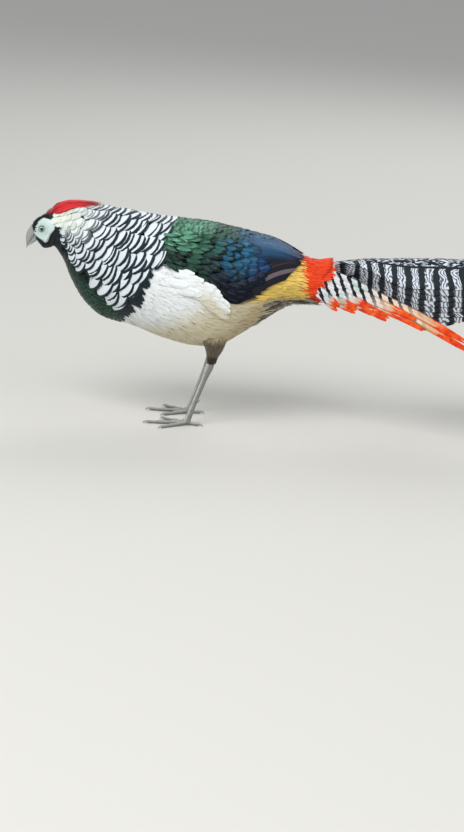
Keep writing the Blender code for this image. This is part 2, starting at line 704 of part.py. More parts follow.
def main():
    for thing in list(bpy.data.objects):
        bpy.data.objects.remove(thing)
    bird = collection("amherst_pheasant")
    cutters = collection("cutters")
    feather = material("cape_feathers", (0.80, 0.86, 0.90), 0.6)
    belly = material("belly_feathers", (0.85, 0.84, 0.74), 0.8)
    blue = material("wing_feathers", (0.03, 0.10, 0.22), 0.4, 0.2)
    flame = material("rump_feathers", (0.85, 0.35, 0.06), 0.7)
    barred = material("tail_feathers", (0.62, 0.66, 0.66), 0.6)
    skin = material("face_skin", (0.62, 0.76, 0.78), 0.6)
    horn = material("horn", (0.45, 0.45, 0.42), 0.4)
    eyes = material("eyes", (0.05, 0.04, 0.03), 0.1)
    brown = material("thigh_feathers", (0.25, 0.20, 0.15), 0.8)
    scales = material("leg_scales", (0.45, 0.46, 0.46), 0.5)

    head = build_head(bird, skin, collection("crest_forms"))
    eye_cutters = []
    for name, side in (("eye_left", -1), ("eye_right", 1)):
        build_eye(name, side, bird, eyes)
        socket = build_eye(name + "_socket", side, cutters, None)
        grow = (EYE_RADIUS + GAP * 1.5) / EYE_RADIUS
        centre = Vector((EYE[0], side * EYE[1], EYE[2]))
        for vert in socket.data.vertices:
            vert.co = centre + (vert.co - centre) * grow
        eye_cutters.append(socket)
    for socket in eye_cutters:
        cut(head, socket)
    upper = bill_half("bill_upper", face_point(0.02), face_point(0.66), BILL_TIP, BILL_WIDTH, BILL_ARCH, -1,
                      bird, horn)
    for side in (-1, 1):
        nostril = Vector((NOSTRIL[0], side * NOSTRIL[1], NOSTRIL[2]))
        cut(upper, pebble(f"nostril_{side}", nostril, NOSTRIL_RADII, -25, 8, 6, cutters))
    bill_half("bill_lower", face_point(0.69), face_point(0.96), LOWER_TIP, LOWER_WIDTH, 0.0, 1, bird, horn)

    neck = body_length("neck", 0.0, NECK_END, 24, 12, bird, feather)
    cape = collection("cape")
    cape_feathers(cape)
    fuse(neck, cape)
    torso = body_length("torso", NECK_END, TORSO_END, 24, 15, bird, belly)
    cutter = body_length("torso_cutter", NECK_END, TORSO_END, 24, 15, cutters, None, GAP)
    rump_cutter = body_length("rump_cutter", TORSO_END - 0.01, RUMP_END, 24, 5, cutters, None, GAP)
    wing_left = wing_core("wing_left", bird, blue)
    vanes = collection("wing_vanes")
    wing_feathers(vanes)
    fuse(wing_left, vanes)
    wing_right = mirrored(wing_left, "wing_right", bird)
    for wing in (wing_left, wing_right):
        cut(wing, cutter)
        cut(wing, rump_cutter)
    rump = body_length("rump", TORSO_END, RUMP_END, 24, 5, bird, flame)
    coverts = collection("rump_coverts")
    rump_coverts(coverts)
    fuse(rump, coverts)
    tail = tail_core(bird, barred)
    quills = collection("tail_vanes")
    tail_feathers(quills)
    fuse(tail, quills)

    floor = level_block("floor_cutter", -0.1, 0.0, cutters)
    below = level_block("below_instep", -0.1, INSTEP, cutters)
    above = level_block("above_instep", INSTEP - GAP, 0.1, cutters)
    over_hock = level_block("above_hock", HOCK[1], 0.3, cutters)
    under_hock = level_block("below_hock", -0.1, HOCK[1] + GAP, cutters)
    for hand, side in (("left", -1), ("right", 1)):
        build_thigh("thigh_" + hand, side, bird, brown, (cutter, under_hock))
        build_shank("shank_" + hand, side, bird, scales, collection("spur_" + hand), (below, over_hock))
        build_foot("foot_" + hand, side, bird, scales, collection("toes_" + hand), (floor, above))
    for thing in cutters.objects:
        thing.display_type = "WIRE"
        thing.hide_render = True
    centre_on_floor(bird)


main()
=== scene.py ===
import math
import bmesh
import bpy
import numpy as np
from mathutils import Matrix, Vector


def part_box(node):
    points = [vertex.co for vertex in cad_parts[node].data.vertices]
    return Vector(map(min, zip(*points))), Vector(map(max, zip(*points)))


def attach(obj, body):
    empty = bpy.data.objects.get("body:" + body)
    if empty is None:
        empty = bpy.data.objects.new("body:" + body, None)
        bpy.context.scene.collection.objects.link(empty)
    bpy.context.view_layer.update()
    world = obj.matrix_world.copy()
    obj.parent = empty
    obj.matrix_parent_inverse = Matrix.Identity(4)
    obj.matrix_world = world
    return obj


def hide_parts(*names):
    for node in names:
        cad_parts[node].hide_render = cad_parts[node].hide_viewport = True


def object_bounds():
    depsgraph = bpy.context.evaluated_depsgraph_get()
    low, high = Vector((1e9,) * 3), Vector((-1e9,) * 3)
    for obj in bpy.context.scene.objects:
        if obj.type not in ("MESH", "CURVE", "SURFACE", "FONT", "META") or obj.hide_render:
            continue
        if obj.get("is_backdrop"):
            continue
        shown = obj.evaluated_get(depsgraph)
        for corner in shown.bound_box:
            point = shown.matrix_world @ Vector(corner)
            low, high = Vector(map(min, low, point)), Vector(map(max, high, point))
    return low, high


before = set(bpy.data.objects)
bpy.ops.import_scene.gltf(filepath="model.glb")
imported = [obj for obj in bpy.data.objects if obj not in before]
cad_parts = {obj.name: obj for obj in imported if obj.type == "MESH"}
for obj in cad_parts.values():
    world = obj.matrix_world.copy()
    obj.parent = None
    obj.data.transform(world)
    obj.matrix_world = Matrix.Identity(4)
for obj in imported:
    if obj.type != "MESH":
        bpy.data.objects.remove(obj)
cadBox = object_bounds()
print("frame loaded")

# The bird is laid out from the point on the floor between its feet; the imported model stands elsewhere.
# The left eye, whose place in both is known, gives the way from one to the other.
eye = {"x": -0.2045, "y": 0.0098, "z": 0.2455}
eyeLow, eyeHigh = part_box("eye_left")
home = (eyeLow + eyeHigh) / 2 - Vector((eye["x"], -eye["y"], eye["z"]))


# Camera: the photograph looks a little down on the bird's left side, rolled slightly
shot = {"distance": 2.93, "down": 15.0, "roll": 3.8, "lens": 95.0, "across": -44 / 2200, "up": -3 / 2200}


def addCamera():
    down, roll = math.radians(shot["down"]), math.radians(shot["roll"])
    ahead = Vector((0, math.cos(down), -math.sin(down)))
    level = Vector((0, math.sin(down), math.cos(down)))
    right = Vector((math.cos(roll), 0, 0)) + level * math.sin(roll)
    up = level * math.cos(roll) - Vector((math.sin(roll), 0, 0))
    data = bpy.data.cameras.new("camera")
    data.lens = shot["lens"]
    data.clip_end = 60
    camera = bpy.data.objects.new("camera", data)
    bpy.context.scene.collection.objects.link(camera)
    spot = home - (ahead + right * shot["across"] + up * shot["up"]) * shot["distance"]
    camera.matrix_world = Matrix.Translation(spot) @ Matrix((right, up, -ahead)).transposed().to_4x4()
    bpy.context.scene.camera = camera


addCamera()


# Shader maths on wires, and paints that add any other node
class Wire:
    def __init__(self, paint, socket):
        self.paint, self.socket = paint, socket

    def maths(self, kind, *terms):
        return self.paint.node("ShaderNodeMath", {"operation": kind}, dict(enumerate(terms)))

    def __add__(self, other):
        return self.maths("ADD", self, other)

    def __sub__(self, other):
        return self.maths("SUBTRACT", self, other)

    def __rsub__(self, other):
        return self.maths("SUBTRACT", other, self)

    def __mul__(self, other):
        return self.maths("MULTIPLY", self, other)

    def __abs__(self):
        return self.maths("ABSOLUTE", self)

    def sine(self):
        return self.maths("SINE", self)

    def most(self, other):
        return self.maths("MAXIMUM", self, other)

    def rise(self, start, end):
        # 0 before start and 1 past end, smooth between them; the other way round where end is the smaller
        return self.paint.node("ShaderNodeMapRange", {"interpolation_type": "SMOOTHSTEP"},
                               {"Value": self, "From Min": start, "From Max": end})


class Paint:
    def __init__(self, name, **constants):
        self.material = bpy.data.materials.new(name)
        self.material.use_nodes = True
        self.tree = self.material.node_tree
        self.shader = self.tree.nodes["Principled BSDF"]
        self.set(**constants)

    def set(self, **values):
        for name, value in values.items():
            self.feed(self.shader.inputs[name.replace("_", " ")], value)

    def feed(self, socket, value):
        if isinstance(value, Wire):
            self.tree.links.new(value.socket, socket)
        elif isinstance(value, tuple) and len(value) == 3 and socket.type == "RGBA":
            socket.default_value = (*value, 1.0)
        else:
            socket.default_value = value

    def node(self, kind, settings=None, sockets=None, out=0):
        made = self.tree.nodes.new(kind)
        for key, value in (settings or {}).items():
            setattr(made, key, value)
        for key, value in (sockets or {}).items():
            self.feed(made.inputs[key], value)
        return Wire(self, made.outputs[out])

    def mix(self, share, first, second):
        return self.node("ShaderNodeMix", {"data_type": "RGBA"}, {0: share, 6: first, 7: second}, 2)

    def place(self):
        return self.node("ShaderNodeTexCoord", out="Object")

    def stretched(self, scale):
        return self.node("ShaderNodeMapping", {}, {"Vector": self.place(), "Scale": scale})

    def noise(self, scale, detail=3.0, at=None, roughness=0.5):
        return self.node("ShaderNodeTexNoise", {}, {"Vector": at or self.place(), "Scale": scale,
                                                    "Detail": detail, "Roughness": roughness})

    def attribute(self, name, out="Color"):
        return self.node("ShaderNodeAttribute", {"attribute_name": name}, out=out)

    def split(self, vector):
        # The three parts of a vector
        parts = self.tree.nodes.new("ShaderNodeSeparateXYZ")
        self.feed(parts.inputs[0], vector)
        return [Wire(self, part) for part in parts.outputs]

    def vane(self):
        # Places on a feather's own map: from edge to edge, and along it
        return self.split(self.node("ShaderNodeUVMap", {"uv_map": "Vane"}))[:2]

    def darken(self, share, colour, depth):
        return self.mix(share, colour, self.mix(depth, colour, (0.0, 0.0, 0.0)))

    def finish(self, colour, height, strength, distance=0.0003):
        bump = self.node("ShaderNodeBump", {}, {"Height": height, "Strength": strength, "Distance": distance})
        self.set(Base_Color=colour, Normal=bump)
        return self


def rgb(red, green, blue):
    # A colour as seen on screen, 0 to 255, made linear
    return tuple((v / 255 / 12.92) if v <= 10.3 else ((v / 255 + 0.055) / 1.055) ** 2.4 for v in (red, green, blue))


def mix(a, b, t):
    return a + (b - a) * t


def nth(pair, k):
    # A value for the k-th feather or row: where it begins, and its change from one to the next
    return pair[0] + pair[1] * k


def smooth(t):
    t = np.clip(t, 0.0, 1.0)
    return t * t * (3.0 - 2.0 * t)


def ramp(value, start, width):
    # 0 up to start and 1 from a width further on, smooth between them
    return smooth((value - start) / width)


# Shape of the bird: cross-sections from the bill's base back to the tail's root, as in the solids.
# Each has back x and z, belly x and z, and half width; station 0 is where the head meets the neck.
headStations = 4
sections = np.array([
    (-0.2185, 0.2495, -0.2105, 0.2275, 0.0068),
    (-0.2125, 0.2560, -0.2035, 0.2205, 0.0108),
    (-0.1990, 0.2650, -0.1990, 0.2200, 0.0142),
    (-0.1880, 0.2705, -0.1930, 0.2215, 0.0158),
    (-0.1760, 0.2720, -0.1870, 0.2230, 0.0170),
    (-0.1600, 0.2780, -0.1740, 0.2050, 0.0260),
    (-0.1400, 0.2790, -0.1640, 0.1830, 0.0360),
    (-0.1150, 0.2770, -0.1480, 0.1580, 0.0470),
    (-0.0880, 0.2740, -0.1220, 0.1360, 0.0560),
    (-0.0550, 0.2695, -0.0820, 0.1260, 0.0630),
    (-0.0200, 0.2680, -0.0400, 0.1120, 0.0660),
    (0.0150, 0.2660, 0.0000, 0.1040, 0.0670),
    (0.0450, 0.2610, 0.0350, 0.1070, 0.0640),
    (0.0720, 0.2560, 0.0620, 0.1240, 0.0570),
    (0.0980, 0.2500, 0.0840, 0.1410, 0.0470),
    (0.1200, 0.2400, 0.1050, 0.1570, 0.0380),
    (0.1380, 0.2300, 0.1240, 0.1680, 0.0300),
    (0.1550, 0.2260, 0.1430, 0.1710, 0.0260),
    (0.1750, 0.2250, 0.1650, 0.1720, 0.0240),
])


def sectionAt(u):
    # The cross-section at a station, smooth through the listed ones
    u = np.asarray(u, dtype=float) + headStations
    last = len(sections) - 1
    i = np.clip(np.floor(u).astype(int), 0, last - 1)
    t = (u - i)[..., None]
    p1, p2 = sections[i], sections[i + 1]
    p0 = np.where((i > 0)[..., None], sections[np.maximum(i - 1, 0)], 2 * p1 - p2)
    p3 = np.where((i + 2 <= last)[..., None], sections[np.minimum(i + 2, last)], 2 * p2 - p1)
    return 0.5 * (2 * p1 + (p2 - p0) * t + (2 * p0 - 5 * p1 + 4 * p2 - p3) * t**2
                  + (3 * p1 - p0 - 3 * p2 + p3) * t**3)


def onBody(u, degrees, lift=0.0):
    # A point of the body: 90 is the back, 0 the left side, -90 the belly, 180 the right side
    row = sectionAt(u)
    a = np.radians(degrees)
    halfX, halfZ = (row[..., 0] - row[..., 2]) / 2, (row[..., 1] - row[..., 3]) / 2
    grow = 1 + lift / np.hypot(halfX, halfZ)
    x = (row[..., 0] + row[..., 2]) / 2 + halfX * grow * np.sin(a)
    z = (row[..., 1] + row[..., 3]) / 2 + halfZ * grow * np.sin(a)
    return np.stack([x, -(row[..., 4] + lift) * np.cos(a), z], axis=-1)


def sideAngle(degrees):
    # The same height on the left side, from -90 to 90
    return np.degrees(np.arcsin(np.sin(np.radians(degrees))))


# Borders of the plumage as seen in the photograph: the cape's lower edge and the vent's upper edge give a
# side angle for a station, the cape's rear edge and the flame-coloured patch's front a station for an angle
borders = {
    "capeFoot": ((-1.0, 24), (-0.6, 12), (0.1, -4), (0.3, -20), (0.5, -32), (1.1, -32), (1.9, -29), (2.4, -26),
                 (3.0, -23), (3.5, -26), (3.95, -33), (4.4, -45), (4.62, -60), (5.0, -75)),
    "capeRear": ((-60, 4.6), (-37, 4.95), (-21, 5.2), (-7, 5.32), (15, 5.5), (21, 5.48), (28, 5.32), (42, 5.26),
                 (61, 5.42), (86, 5.5)),
    "flameFront": ((-60, 13.4), (-45, 13.1), (6, 12.5), (50, 12.15), (72, 11.95), (90, 11.8)),
    "ventTop": ((9.5, -18), (10.3, -20), (10.9, -28), (11.6, -35), (12.6, -44), (14.0, -62)),
}


def border(name, at):
    places, values = zip(*borders[name])
    return np.interp(at, places, values)


def wingEdges(u):
    # Side angles of the folded wing's lower and upper edge at a station
    low = 15 + 11 * smooth((6.0 - u) / 0.5) - 28 * ramp(u, 6.3, 2.6) + 80 * ramp(u, 9.6, 3.2) ** 1.5
    high = 58 + 14 * ramp(u, 9.0, 3.0)
    return low, high


def onTail(d, s, lift=0.0):
    # The tail's roof: d runs back from its root, s down from the ridge, negative on the left side
    ridge = 0.2255 + 0.1456 * d - 0.3458 * d * d
    radius = mix(0.022, 0.020, smooth(d / 0.09))
    steepest = np.radians(mix(86, 56, smooth(d / 0.12)))
    side, s = np.where(s < 0, -1.0, 1.0), np.abs(s)
    angle = np.minimum(s / radius, steepest)
    beyond = np.maximum(0.0, s - radius * steepest)
    y = radius * np.sin(angle) + beyond * np.cos(steepest) + lift * np.sin(angle)
    z = lift * np.cos(angle) - radius * (1 - np.cos(angle)) - beyond * np.sin(steepest)
    lean = 0.19 * (1 - ramp(d, 0.0105, 0.05))
    return np.stack([0.165 + d + z * lean, side * y, ridge + z], axis=-1)


def onCrown(x, y, lift=0.0):
    # The crown and nape as a surface over x and y, for the crest
    backs = sections[:10, :2]
    high = np.interp(x, backs[:, 0], backs[:, 1])
    radius = mix(0.009, 0.026, ramp(x, -0.190, 0.045))
    raised = lift * (1 + 0.45 * np.exp(-((x + 0.174) / 0.010) ** 2))
    return np.stack([x, y, high - y * y / (2 * radius) + raised], axis=-1)


hands = {-1: "Left", 1: "Right"}


def addObject(name, mesh):
    thing = bpy.data.objects.new(name, mesh)
    bpy.context.scene.collection.objects.link(thing)
    return thing


def addGrid(bm, columns, rows):
    # A flat grid's points, with their places from -1 to 1 across and along it
    verts = bmesh.ops.create_grid(bm, x_segments=columns, y_segments=rows, size=1.0)["verts"]
    return verts, np.array([vert.co[:2] for vert in verts]).T


def lay(verts, points):
    for vert, point in zip(verts, points):
        vert.co = home + Vector(point)


def closeMesh(name, bm, merge=0.0, sharp=180.0):
    # Joins a seam, fills open ends and turns all faces outwards
    if merge:
        bmesh.ops.remove_doubles(bm, verts=bm.verts[:], dist=merge)
    bmesh.ops.holes_fill(bm, edges=[edge for edge in bm.edges if edge.is_boundary], sides=0)
    bmesh.ops.recalc_face_normals(bm, faces=bm.faces[:])
    mesh = bpy.data.meshes.new(name)
    bm.to_mesh(mesh)
    mesh.shade_smooth()
    if sharp < 180:
        mesh.set_sharp_from_angle(angle=math.radians(sharp))
    return addObject(name, mesh)


def finishPiece(thing, paint, slot, *nodes):
    thing.data.materials.append(paint.material)
    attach(thing, "root")
    if nodes:
        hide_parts(*nodes)


# Feathers: closed vanes with a curved top and a flat underside, many in one mesh
def slopes(surface, steps, p, q):
    ahead = (surface(p + steps[0], q) - surface(p - steps[0], q)) / (2 * steps[0])
    over = (surface(p, q + steps[1]) - surface(p, q - steps[1])) / (2 * steps[1])
    return ahead, over


def dot(a, b):
    return (a * b).sum(axis=-1)


def surfaceStep(ahead, over, move):
    # Changes of the two coordinates that move a point by a small vector in the surface
    a, b, c = dot(ahead, ahead), dot(ahead, over), dot(over, over)
    e, f = dot(ahead, move), dot(over, move)
    det = a * c - b * b
    return (e * c - f * b) / det, (a * f - b * e) / det


def unit(v):
    return v / np.maximum(np.linalg.norm(v, axis=-1, keepdims=True), 1e-12)


bodySteps, tailSteps = (0.02, 1.0), (0.0005, 0.0005)


def bodyAtlas(u, degrees):
    return np.stack([((degrees + 90) % 360) / 360, (u + headStations) / 18], axis=-1)


# Every vane: thickness, where the middle height stands, crowding of rows at the root, sharp angle, size on the map
feather = {"thickness": 0.0003, "quarter": 0.25, "crowding": 1.15, "sharp": 75, "patch": 0.003}


class Coat:
    # Feathers of one piece: each has a root and a step to its tip in the surface's coordinates, half width,
    # heights at root, a quarter and tip, colours of its vane and rim, gloss, width of the rim and sideways lean
    def __init__(self, name, profile, along, across, camber, surface=onBody, steps=bodySteps):
        self.name, self.surface, self.steps, self.profile = name, surface, steps, profile
        self.along, self.across, self.camber, self.rows = along, across, camber, []

    def add(self, p, q, dp, dq, half, heights, tint, rim, gloss=0.0, band=0.0, skew=0.0):
        self.rows.append((p, q, dp, dq, half, *heights, *tint, gloss, *rim, band, skew))

    def pair(self, p, q, dp, dq, *look):
        # The same feather on the left side and on the right
        self.add(p, q, dp, dq, *look)
        self.add(p, 180 - q, dp, -dq, *look)

    def spots(self, data, t, v):
        # Points of the vanes: one for each feather, row along it and column across it
        col = data[:, :, None]
        p0, q0, dp, dq, half, h0, h1, h2 = (col[:, k] for k in range(8))
        skew = col[:, 16]
        p, q = p0 + dp * t, q0 + dq * t
        ahead, over = slopes(self.surface, self.steps, p, q)
        run = ahead * dp[..., None] + over * dq[..., None]
        outward = np.cross(ahead, over)
        lifted = self.surface(p, q, 0.001) - self.surface(p, q, 0.0)
        outward *= np.sign(dot(outward, lifted))[..., None]
        aside = unit(np.cross(outward, run))
        ap, aq = surfaceStep(ahead, over, aside)
        wide = half * self.profile(t)[None]
        offset = wide[..., None] * v
        pp, qq = p[..., None] + ap[..., None] * offset, q[..., None] + aq[..., None] * offset
        quarter = feather["quarter"]
        lift = np.where(t < quarter, mix(h0, h1, t / quarter), mix(h1, h2, (t - quarter) / (1 - quarter)))
        bulge = self.camber * wide[..., None] * (1 - v**2)
        height = lift[..., None] + bulge + feather["thickness"] + (skew * t)[..., None] * half[..., None] * v
        return self.surface(pp, qq, height) + np.array(home)

    def grow(self, atlas=bodyAtlas):
        # Upper faces follow the vane's rows, a flat underside and two ends close it
        data = np.array(self.rows, dtype=float)
        n, rows, cols = len(data), self.along + 1, self.across
        t, v = np.linspace(0, 1, rows) ** feather["crowding"], np.linspace(-1, 1, cols)
        index = np.arange(n * rows * cols).reshape(n, rows, cols)
        top = np.stack([index[:, :-1, :-1], index[:, 1:, :-1], index[:, 1:, 1:], index[:, :-1, 1:]], axis=-1)
        under = np.stack([index[:, :-1, 0], index[:, :-1, -1], index[:, 1:, -1], index[:, 1:, 0]], axis=-1)
        quads = np.concatenate([top.reshape(-1, 4), under.reshape(-1, 4)])
        ends = np.concatenate([index[:, 0, :], index[:, -1, ::-1]])
        loops = np.concatenate([quads.ravel(), ends.ravel()])
        starts = np.concatenate([np.arange(len(quads)) * 4, len(quads) * 4 + np.arange(len(ends)) * cols])
        mesh = bpy.data.meshes.new(self.name)
        mesh.vertices.add(n * rows * cols)
        mesh.vertices.foreach_set("co", self.spots(data, t, v).ravel())
        mesh.loops.add(len(loops))
        mesh.loops.foreach_set("vertex_index", loops)
        mesh.polygons.add(len(starts))
        mesh.polygons.foreach_set("loop_start", starts)
        mesh.update(calc_edges=True)
        self.colour(mesh, "Tint", data[:, 8:12], rows * cols)
        self.colour(mesh, "Rim", data[:, 12:16], rows * cols)
        grid = np.stack(np.broadcast_arrays((v[None] + 1) / 2, t[:, None]), axis=-1)
        vane = np.broadcast_to(grid, (n, rows, cols, 2)).reshape(-1, 2)
        patch = feather["patch"] * (vane - 0.5) + np.repeat(atlas(data[:, 0], data[:, 1]), rows * cols, axis=0)
        for label, coordinates in (("Vane", vane), ("OFBake", patch)):
            layer = mesh.uv_layers.new(name=label)
            layer.data.foreach_set("uv", coordinates[loops].ravel())
        mesh.shade_smooth()
        mesh.set_sharp_from_angle(angle=math.radians(feather["sharp"]))
        triangles = n * ((rows - 1) * cols * 2 + (cols - 2) * 2)
        print(self.name, n, "feathers", triangles, "triangles")
        return addObject(self.name, mesh)

    def colour(self, mesh, name, values, repeat):
        layer = mesh.color_attributes.new(name, "FLOAT_COLOR", "POINT")
        layer.data.foreach_set("color", np.repeat(values, repeat, axis=0).ravel())


def pointed(t):
    # Outline of a narrow lock: widest low down and drawn out to its tip
    return (0.5 + 0.5 * smooth(t / 0.3)) * (1 - 0.88 * np.clip((t - 0.3) / 0.7, 0, 1) ** 1.3)


def blunt(root, full, turn, run, power=2.0, least=0.02):
    # Outline with a blunt tip: share of the width at the root, where it is full, where and how fast the tip turns in
    def outline(t):
        end = np.clip((t - turn) / run, 0, 1) ** power
        return (root + (1 - root) * smooth(t / full)) * np.sqrt(np.clip(1 - end, least, 1))
    return outline


rounded = blunt(0.55, 0.55, 0.58, 0.44)
scalloped = blunt(0.60, 0.50, 0.60, 0.42, least=0.01)
squared = blunt(0.70, 0.20, 0.86, 0.15)
drooping = blunt(0.55, 0.25, 0.55, 0.46, power=2.2)


# Colours of the plumage, as seen on screen
plumage = {name: rgb(*levels) for name, levels in {
    "face": (214, 227, 223), "faceShade": (176, 204, 196), "crown": (20, 34, 32), "throat": (24, 34, 42),
    "crest": (222, 30, 40), "crestFront": (150, 96, 100), "cape": (228, 236, 242), "nape": (232, 238, 222),
    "capeEdge": (10, 32, 42), "breast": (10, 36, 29), "breastRim": (44, 92, 70), "leaf": (84, 140, 112),
    "mantle": (34, 78, 62), "mantleRim": (3, 20, 20), "teal": (26, 84, 112), "wing": (24, 58, 102),
    "navy": (5, 9, 30), "violet": (44, 54, 104), "wingRim": (3, 8, 22), "azure": (46, 96, 138), "dusk": (34, 30, 58),
    "flight": (108, 96, 104), "flightRim": (24, 22, 30), "belly": (240, 244, 244), "cream": (214, 204, 172),
    # The thigh's brown is painted shade on the thighs under the body
    "tanAndShade": (178, 158, 112), "vent": (70, 52, 42), "thigh": (92, 80, 64), "garter": (48, 34, 26),
    "rump": (238, 203, 104), "flame": (242, 66, 8), "flameEdge": (206, 38, 8),
}.items()}

# Where one coat or colour gives way to the next: start and width, in stations, side degrees or metres
fades = {
    "capeFront": (-0.8, 0.8), "capeEnd": (0.1, 0.3), "capeFoot": (-6, 10), "capeGrown": (0, 4.2),
    "wingFoot": (0, 10), "wingTop": (-4, 10), "wingFront": (5.4, 0.5), "wingEnd": (11.4, 0.8),
    "faceRim": (-0.003, 0.003), "deeper": (-1.0, 2.0), "nape": (-0.4, 3.2), "napeSide": (-12, 55),
    "cream": (5.2, 1.7), "tanAndShade": (7.0, 1.8), "flame": (-0.12, 0.3), "leafSide": (30, 14), "leafEnd": (6.35, 0.7),
    "blue": (8.6, 1.2), "violet": (9.9, 1.2), "violetSide": (30, 25), "turned": (7.2, 0.7), "navySide": (-44, 28),
    "navy": (6.5, 1.2), "lowSide": (-40, 30), "cornerTop": (-40, 10), "cornerFoot": (10, 8), "cornerEnd": (5.75, 0.55),
    "wingRim": (7.9, 0.8), "swell": (-0.0008, 0.0018), "lappet": (0, 0.0015), "lappetTop": (-0.2400, 0.009),
    "socket": (0.0036, 0.0014), "inset": (-1.7, 1.7), "thigh": (0.6, 0.8), "garter": (2.6, 0.5), "azure": (0.42, 0.45),
}


def past(value, name):
    return ramp(value, *fades[name])


def blend(a, b, t):
    return tuple(mix(x, y, float(t)) for x, y in zip(a, b))


def shade(colour, amount):
    return tuple(max(0.0, c * (1 + amount)) for c in colour)


faceEdge = np.array([(-0.2150, 0.2385), (-0.2130, 0.2510), (-0.2050, 0.2590), (-0.1950, 0.2585), (-0.1875, 0.2540),
                     (-0.1885, 0.2465), (-0.1935, 0.2400), (-0.1965, 0.2300), (-0.1995, 0.2270), (-0.2040, 0.2310),
                     (-0.2105, 0.2345)])


def insideFace(x, z):
    # How far inside the bare face a point of the side view lies, in metres, negative outside
    a, b = faceEdge, np.roll(faceEdge, -1, axis=0)
    p = np.stack([x, z], axis=-1)[..., None, :]
    along = np.clip(((p - a) * (b - a)).sum(-1) / ((b - a) ** 2).sum(-1), 0, 1)
    far = np.linalg.norm(p - a - along[..., None] * (b - a), axis=-1).min(axis=-1)
    crosses = (a[:, 1] > p[..., 1]) != (b[:, 1] > p[..., 1])
    reach = a[:, 0] + (p[..., 1] - a[:, 1]) * (b[:, 0] - a[:, 0]) / (b[:, 1] - a[:, 1] + 1e-12)
    odd = (crosses & (p[..., 0] < reach)).sum(axis=-1) % 2
    return np.where(odd == 1, far, -far)


def eyeGap(point):
    return np.hypot(point[..., 0] - eye["x"], point[..., 2] - eye["z"])


# Depths of the skin under the outline, and how far the bare face stands out of it
depths = {"head": 0.0008, "body": 0.0028, "cape": 0.001, "wing": 0.003}
relief = {"swell": 0.0011, "pucker": 0.00018, "lappet": 0.0022, "socket": -0.0022}


def coatDepth(u, degrees):
    # How deep the skin lies under the outline
    angle = sideAngle(degrees)
    point = onBody(u, degrees)
    low, high = wingEdges(u)
    cape = past(u, "capeFront") * (1 - past(u - border("capeRear", angle), "capeEnd"))
    cape = cape * past(angle - border("capeFoot", u), "capeFoot")
    wing = past(angle - low, "wingFoot") * past(high - angle, "wingTop")
    wing = wing * past(u, "wingFront") * (1 - past(u, "wingEnd"))
    face = past(insideFace(point[..., 0], point[..., 2]), "faceRim") * (u < 0)
    depth = mix(depths["head"], depths["body"], past(u, "deeper"))
    return depth * (1 - face) + depths["cape"] * cape + depths["wing"] * wing


# Where each plumage begins or ends, in stations or side degrees
regions = {"faceEnd": 0.35, "faceRim": -0.0006, "capeFront": -1.15, "headEnd": 0.45, "crownFoot": 34,
           "breastFoot": -60, "wingStart": 5.6, "wingTop": -2, "mantleEnd": 11.7, "rumpStart": 9.6, "ventStart": 10.1}


def regionOf(u, degrees):
    # Name of the plumage that grows at a place
    angle = sideAngle(degrees)
    point = onBody(u, degrees)
    if u < regions["faceEnd"] and insideFace(point[0], point[2]) > regions["faceRim"]:
        return "face"
    rear = border("capeRear", angle)
    if regions["capeFront"] - 0.55 * ramp(angle, 10, 20) < u < rear and angle > border("capeFoot", u):
        return "cape"
    if u < regions["headEnd"]:
        return "crown" if angle > regions["crownFoot"] else "throat"
    if u < rear - 0.15 * (angle < regions["breastFoot"]):
        return "breast"
    low, high = wingEdges(u)
    if angle > low and u < regions["mantleEnd"]:
        return "wing" if u > regions["wingStart"] and angle < high + regions["wingTop"] else "mantle"
    if u > regions["rumpStart"] and angle > border("ventTop", u) or u > border("flameFront", angle):
        return "rump"
    return "vent" if u > regions["ventStart"] - 0.5 * smooth((-angle - 40) / 40) else "belly"


def napeShare(u, angle):
    # How much of the nape's plain cream a cape feather at this place has
    return (1 - past(u, "nape")) * past(angle, "napeSide")


# White to cream, then tan towards the rear and underside: the tan is partly the belly's own buff and partly painted
# shade on the underside
def bellyColour(u, angle):
    colour = blend(plumage["belly"], plumage["cream"], past(u - 0.036 * (angle + 45), "cream"))
    return blend(colour, plumage["tanAndShade"], 0.8 * past(u - 0.035 * max(angle + 50, -15), "tanAndShade"))


def rumpColour(u, angle):
    return blend(plumage["rump"], plumage["flame"], past(u - border("flameFront", angle), "flame"))


def gloss(u, angle):
    # Vane and rim of the mantle and wing: green in front, then teal and blue, navy below, violet at the tip
    low = wingEdges(u)[0]
    leaf = past(angle, "leafSide") * (1 - past(u, "leafEnd"))
    turned = past(u - 0.006 * (angle - 30), "turned")
    blue = blend(plumage["teal"], plumage["wing"], past(u + (40 - angle) / 75, "blue"))
    blue = blend(blue, plumage["violet"], past(u, "violet") * past(angle, "violetSide"))
    colour = blend(blend(plumage["mantle"], plumage["leaf"], leaf), blue, turned)
    colour = blend(colour, plumage["navy"], past(low - angle, "navySide") * past(u, "navy"))
    colour = shade(colour, -0.35 * past(low - angle, "lowSide") * (1 - turned))
    # A dark corner behind the cape's rear edge
    corner = past(-angle, "cornerTop") * past(angle, "cornerFoot") * (1 - past(u, "cornerEnd"))
    colour = blend(colour, plumage["breast"], 0.75 * corner)
    rim = blend(plumage["mantleRim"], blend(colour, plumage["wingRim"], 0.6), past(u, "wingRim"))
    return colour, blend(rim, colour, 0.35 * leaf)


